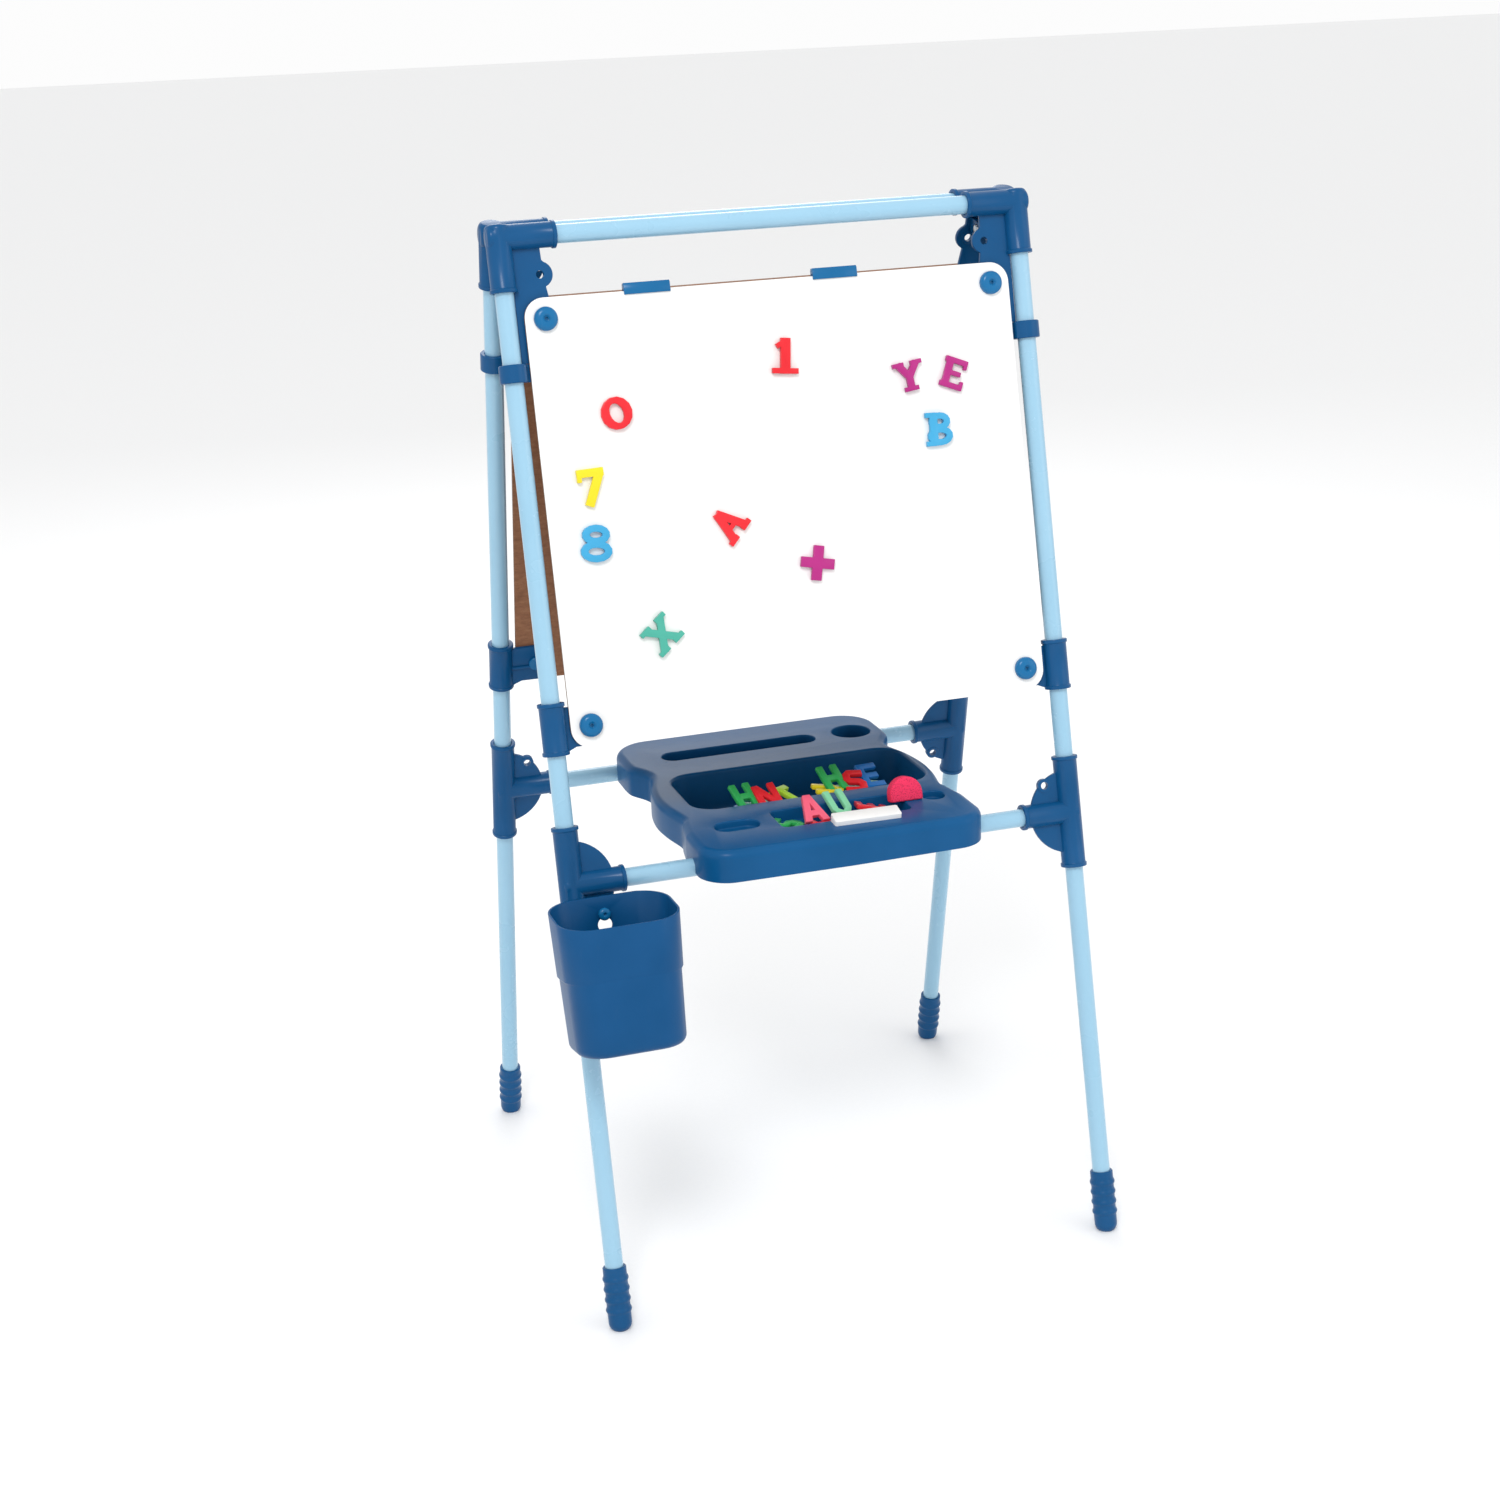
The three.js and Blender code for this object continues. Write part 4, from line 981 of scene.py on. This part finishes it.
def pocket_outlines():
    """Outline and depth of each pocket in the deck, seen from above."""
    def placed(x0, x1, y0, y1, radius):
        return rounded(*(v * mm + tray_x for v in (x0, x1)), *(v * mm for v in (y0, y1)), radius * mm, 9)
    return {"slot": (placed(-113, 72, 87, 119, 15.9), 20 * mm),
            "cup": (arc(tray_x + 116 * mm, 107 * mm, 24 * mm, 0, 360, 48)[:-1], 28 * mm),
            "left_recess": (placed(-125, -73, -153, -122, 15.4), 8 * mm),
            "right_recess": (placed(107, 135, -147, -117, 13.9), 8 * mm),
            "compartment": (placed(-58, 88, -164, -110, 9), 14 * mm)}


def hanging(name, outline_at, depth, draft, base):
    """The wall of a pocket under the deck, pulled down from just inside it."""
    steps = [(draft, depth - base), *quarter(base, outward=True)]
    return moulded(name, at_z(outline_at, deck - 1.5 * mm), steps, (0, 0, -1))


walls = [hanging("basin_wall", basin_outline(wall), basin_deep + 1.5 * mm, 8 * mm, 11 * mm)]
hollows = [sunk("basin_hollow", basin_outline(3 * mm), basin_deep, 3.5 * mm, 9 * mm, 7.5 * mm)]
for name, (line, depth) in pocket_outlines().items():
    ring = draw("ring", at_z(line, 0), fill=True)
    bpy.ops.mesh.inset(thickness=2 * mm, use_outset=True, use_even_offset=True)
    pick_all()
    bpy.ops.mesh.dissolve_limited()
    edit(False)
    grown = [tuple(ring.data.vertices[i].co.xy) for i in ring.data.polygons[0].vertices]
    bpy.data.objects.remove(ring)
    walls.append(hanging(f"{name}_wall", grown, depth + 1 * mm, 0.4 * mm, 2.5 * mm))
    hollows.append(sunk(f"{name}_hollow", line, depth, 1.6 * mm, 2 * mm))


def groove(name, y, towards_rear):
    """The way of a cross tube into the tray from below, right across it."""
    turns = arc(y, cross.z, bore, 45, 225, 18) if towards_rear else arc(y, cross.z, bore, 0, 180, 18)
    side = bore * math.sqrt(0.5)
    reach = 26 * mm
    if towards_rear:
        turns += [(y + reach - side, cross.z - reach - side), (y + reach + side, cross.z - reach + side)]
    else:
        turns += [(y - bore, cross.z - 30 * mm), (y + bore, cross.z - 30 * mm)]
    return slab(name, [(tray_x - half - 5 * mm, a, b) for a, b in turns], (2 * half + 10 * mm, 0, 0))


tray = join(outer, *walls)
cut(tray, *hollows, groove("front_groove", -cross_y, True), groove("rear_groove", cross_y, False))
tray.name = tray.data.name = "tray_moulding"
seat(tray, "tray", "tray", "tray", 30)
print("tray faces:", len(tray.data.polygons))

# %% [markdown]
# ## What lies in the tray
# Loose magnetic letters lie heaped in the basin and the front compartment, with a white eraser bar and a half round
# sponge. In the basin, most letters that show lie on three piles of flat ones. Each letter is pulled from an outline
# on a small grid, and its edges are rounded like a soft moulding.

# %% Loose letters, eraser and sponge
letter_lines = {
    "E": [(0, 0), (5, 0), (5, 1.5), (1.6, 1.5), (1.6, 2.75), (4.4, 2.75), (4.4, 4.25), (1.6, 4.25), (1.6, 5.5),
          (5, 5.5), (5, 7), (0, 7)],
    "H": [(0, 0), (1.6, 0), (1.6, 2.7), (3.6, 2.7), (3.6, 0), (5.2, 0), (5.2, 7), (3.6, 7), (3.6, 4.3), (1.6, 4.3),
          (1.6, 7), (0, 7)],
    "N": [(0, 0), (1.6, 0), (1.6, 4), (3.8, 0), (5.4, 0), (5.4, 7), (3.8, 7), (3.8, 3), (1.6, 7), (0, 7)],
    "A": [(0, 0), (1.7, 0), (2.1, 1.4), (3.9, 1.4), (4.3, 0), (6, 0), (3.9, 7), (2.1, 7)],
    "U": [(0, 7), (0, 2), (1, 0.6), (2.6, 0), (4.2, 0.6), (5.2, 2), (5.2, 7), (3.6, 7), (3.6, 2.2), (2.6, 1.5),
          (1.6, 2.2), (1.6, 7)],
    "T": [(0, 5.4), (1.9, 5.4), (1.9, 0), (3.5, 0), (3.5, 5.4), (5.4, 5.4), (5.4, 7), (0, 7)],
    "S": [(0, 0.4), (3.6, 0), (5, 1.2), (5, 3), (3.8, 4.2), (1.7, 4.5), (1.7, 5.5), (4.6, 5.3), (4.6, 6.8), (1.2, 7),
          (0, 5.9), (0, 4), (1.2, 3), (3.3, 2.7), (3.3, 1.6), (0, 1.9)],
}


letter_eye = ((0, -0.7), (1, -0.7), (0.5, 1.4))
letter_thick = 5 * mm


def loose_letter(name, shape, colour, spot, turn, lean_x=0.0, lean_y=0.0, tall=34 * mm):
    """A letter 5 mm thick: turn about Z is its heading, and the two leans prop it up."""
    scale = tall / 7
    points = [((x - 2.6) * scale, (y - 3.5) * scale, -letter_thick / 2) for x, y in letter_lines[shape]]
    body = slab(name, points, (0, 0, letter_thick))
    if shape == "A":
        corners = [(-0.1 * scale + x * scale, y * scale, -4 * mm) for x, y in letter_eye]
        cut(body, slab("eye", corners, (0, 0, 8 * mm)))
    soften(body, 0.9 * mm, 2, 25)
    turnings = (rotation(turn, "Z") @ rotation(lean_x, "X")
                @ rotation(lean_y, "Y"))
    lay(body, Matrix.Translation(Vector(spot) * mm) @ turnings)
    return seat(body, colour, "tray")


heap = [
    ("H", "green", (-58, -60, 483), 14, 34, 4), ("N", "red", (-34, -64, 481), 8, 28, -4),
    ("T", "lime", (-10, -62, 478), 34, 16, 4), ("E", "blue", (90, -48, 482), 10, 30, 4),
    ("H", "green", (44, -52, 487), 12, 34, 3), ("S", "red", (68, -60, 482), -6, 26, 2),
    ("U", "yellow", (36, -64, 479), 88, 10, 0), ("H", "sky", (10, -46, 442), 20, 5, 3),
    ("A", "pink", (-10, -134, 487), 8, 34, 4), ("S", "green", (-36, -138, 475), 60, 6, 3),
    ("U", "mint", (24, -128, 486), 16, 38, 6), ("E", "red", (60, -130, 478), 78, 12, 10),
    ("T", "red", (4, -150, 474), 100, 4, 2),
]
layer_rise = 6.2
pile_floor = 440
pile_places = ((-46, -54), (52, -52), (78, -50))
under_layers = [("E", "purple", -6, 4), ("N", "mint", 8, -3), ("T", "sky", -3, -5), ("A", "yellow", 6, 5),
                ("S", "blue", -8, -2), ("U", "teal", 4, 3)]
for pile, (pile_x, pile_y) in enumerate(pile_places):
    for layer, (shape, colour, across, along) in enumerate(under_layers):
        spot = (pile_x + across, pile_y + along, pile_floor + layer_rise * layer)
        heap.append((shape, colour, spot, 50 + 77 * (layer + pile), 3, 4))
for i, (shape, colour, spot, turn, tip_x, tip_y) in enumerate(heap):
    loose_letter(f"loose_{shape}_{i}", shape, colour, spot, turn, tip_x, tip_y)

eraser = moulded("eraser_bar", at_z(rounded(-36 * mm, 36 * mm, -9 * mm, 9 * mm, 2 * mm, 4), 0), [(0, 9 * mm)])
soften(eraser, 0.8 * mm, 2, 40)
lay(eraser, Matrix.Translation((38 * mm, -173 * mm, deck - 2 * mm)) @ rotation(-2, "Z")
    @ rotation(12, "X"))
seat(eraser, "white", "tray")
sponge_radius, sponge_thick = 18 * mm, 14 * mm
sponge_line = [(-sponge_radius, 0), (sponge_radius, 0), *arc(0, 8 * mm, sponge_radius, 0, 180, 20)]
dome = slab("sponge", in_xz(sponge_line, -sponge_thick / 2), (0, sponge_thick, 0))
soften(dome, 2 * mm, 3, 40)
lay(dome, Matrix.Translation((97 * mm, -134 * mm, deck - 1 * mm)) @ rotation(-14, "X"))
seat(dome, "sponge", "tray")
print("loose pieces:", len(heap) + 2)

# %% [markdown]
# ## The bucket
# The bucket hangs from a knob on the left tee. It is pulled down from its rim outline and narrows as it goes, with
# its back kept flat. A belt half way down steps inward, and the floor edge is round. The wall is given its thickness
# after the outer form is done. The rim is then cut at a slant, nearly level once the bucket leans with its leg.

# %% Bucket
bucket_low, bucket_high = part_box("bucket")
bucket_x = (bucket_low.x + bucket_high.x) / 2
bucket_half, bucket_deep, bucket_corner = 63 * mm, 96 * mm, 34 * mm
rim_down, belt_down, bottom_down = 658 * mm, 728 * mm, 804 * mm
bucket_back = -14.3 * mm
bucket_wall = 2.2 * mm
bucket_taper, depth_share = 5 * mm, 0.7
rim_over, rim_slant = 26 * mm, 10
hang_down, hang_lift = 676.5, 11
slot_half, entry_radius = 3.2 * mm, 7.5 * mm


def bucket_form():
    start = -(rim_down - rim_over)
    points = rounded(bucket_x - bucket_half, bucket_x + bucket_half, bucket_back - bucket_deep, bucket_back,
                     bucket_corner, 10)
    body = draw("bucket_form", at_z(points, start), fill=True)
    fall = bottom_down - rim_down
    at, shrink = start, 0.0

    def down(to, step=0.0):
        """Pulls the floor face down to a depth, narrowing with the taper, and then in by a step."""
        nonlocal at, shrink
        share = (-to - rim_down) / fall
        narrow = bucket_taper * share + step
        pull((0, 0, to - at))
        wide = (bucket_half - narrow) / (bucket_half - shrink)
        deep = (bucket_deep - 2 * narrow * depth_share) / (bucket_deep - 2 * shrink)
        bpy.ops.transform.resize(value=(wide, deep, 1), center_override=(bucket_x, bucket_back, to))
        at, shrink = to, narrow

    pull((0, 0, -rim_over))
    at = start - rim_over
    down(-(belt_down - 1 * mm))
    down(-(belt_down + 0.4 * mm), 1.0 * mm)
    down(-(belt_down + 2 * mm), 2.0 * mm)
    down(-(bottom_down - 9 * mm), 2.0 * mm)
    for inward, onward in quarter(9 * mm, outward=True, count=6):
        bpy.ops.mesh.inset(thickness=inward, use_even_offset=True)
        bpy.ops.transform.translate(value=(0, 0, -onward))
    tidy_normals()
    bpy.ops.mesh.select_mode(type="FACE")
    bpy.ops.mesh.select_all(action="DESELECT")
    edit(False)
    top = max(body.data.polygons, key=lambda face: face.center.z)
    top.select = True
    edit(True)
    bpy.ops.mesh.delete(type="FACE")
    edit(False)
    finish_with(body, "SOLIDIFY", thickness=bucket_wall, offset=-1.0, use_even_offset=True)
    open_up(body)
    slant = Matrix.Rotation(math.radians(rim_slant), 3, "X") @ Vector((0, 0, 1))
    bpy.ops.mesh.bisect(plane_co=(bucket_x, bucket_back, -rim_down), plane_no=slant, use_fill=True, clear_outer=True)
    close_up()
    return body


def keyhole():
    entry, rest = -(hang_down + hang_lift) * mm, -hang_down * mm
    y = (bucket_back - bucket_wall - 1 * mm, bucket_back + 1 * mm)
    line = rounded(bucket_x - slot_half, bucket_x + slot_half, entry, rest + slot_half, 3.1 * mm)
    slot = moulded("slot", in_xz(line, y[0]), [(0, y[1] - y[0])], (0, 1, 0))
    return [slot, pin("entry", entry_radius, (bucket_x, y[0], entry), (bucket_x, y[1], entry), 36)]


bucket = cut(bucket_form(), *keyhole())
bucket.name = bucket.data.name = "bucket_moulding"
soften(bucket, 0.7 * mm, 2, 60)
lay(bucket, front_space)
seat(bucket, "bucket", "bucket", "bucket", 30)
hanger = knob("bucket_hanger", 6.5 * mm, 5 * mm, bucket_back - bucket_wall - 0.3 * mm, 2.55 * mm, screw_shank)
lay(hanger, front_space @ Matrix.Translation((bucket_x, 0, -hang_down * mm)))
seat(hanger, "knob", "front_frame", "bucket_knob")
print("bucket faces:", len(bucket.data.polygons))

# %% [markdown]
# ## Floor, light and camera
# The easel stands on a plain white floor. One large soft light hangs high in front on the left, a weaker one fills
# from the right, and a third lifts the rear. The camera stands a little to the left and looks down on the tray.

# %% Stage
bpy.ops.mesh.primitive_plane_add(size=60)
floor = bpy.context.object
floor.name = "floor"
sheet = Finish("floor_paper", Specular_IOR_Level=0.2)
paper = sheet.noise(220, 4)
floor.data.materials.append(sheet.wear(Base_Color=sheet.blend(paper, (0.86, 0.865, 0.87), (0.9, 0.9, 0.9)),
                                       Roughness=paper * 0.1 + 0.75))


def soft_light(name, place, target, size, power, colour=(1, 1, 1)):
    lamp = bpy.data.lights.new(name, "AREA")
    lamp.shape, lamp.size, lamp.energy, lamp.color = "DISK", size, power, colour
    stand = bpy.data.objects.new(name, lamp)
    stand.location = place
    stand.rotation_euler = (Vector(target) - Vector(place)).to_track_quat("-Z", "Y").to_euler()
    bpy.context.scene.collection.objects.link(stand)


soft_light("key", (-1.2, -2.6, 3.6), (0, 0, 0.6), 1.2, 65)
soft_light("fill", (2.8, -2.2, 1.8), (0, 0, 0.5), 2.5, 12)
soft_light("rim", (0.6, 3.0, 2.6), (0, 0, 0.6), 2.0, 25)
world = bpy.data.worlds.new("studio")
world.use_nodes = True
world.node_tree.nodes["Background"].inputs["Color"].default_value = (1, 1, 1, 1)
world.node_tree.nodes["Background"].inputs["Strength"].default_value = 0.98
bpy.context.scene.world = world
bpy.context.scene.view_settings.view_transform = "Standard"

camera_data = bpy.data.cameras.new("camera")
camera_data.lens, camera_data.sensor_width = 57.12, 36
camera = bpy.data.objects.new("camera", camera_data)
turn, rise, roll = (math.radians(a) for a in (-17.197, 18.615, -2.151))
back = Vector((math.sin(turn) * math.cos(rise), -math.cos(turn) * math.cos(rise), math.sin(rise)))
right = Vector((math.cos(turn), math.sin(turn), 0))
up = back.cross(right)
axes = [right * math.cos(roll) + up * math.sin(roll), up * math.cos(roll) - right * math.sin(roll), back]
camera.matrix_world = Matrix.Translation((-0.7584, -2.3488, 1.3419)) @ Matrix(axes).transposed().to_4x4()
bpy.context.scene.collection.objects.link(camera)
bpy.context.scene.camera = camera
print("stage set")
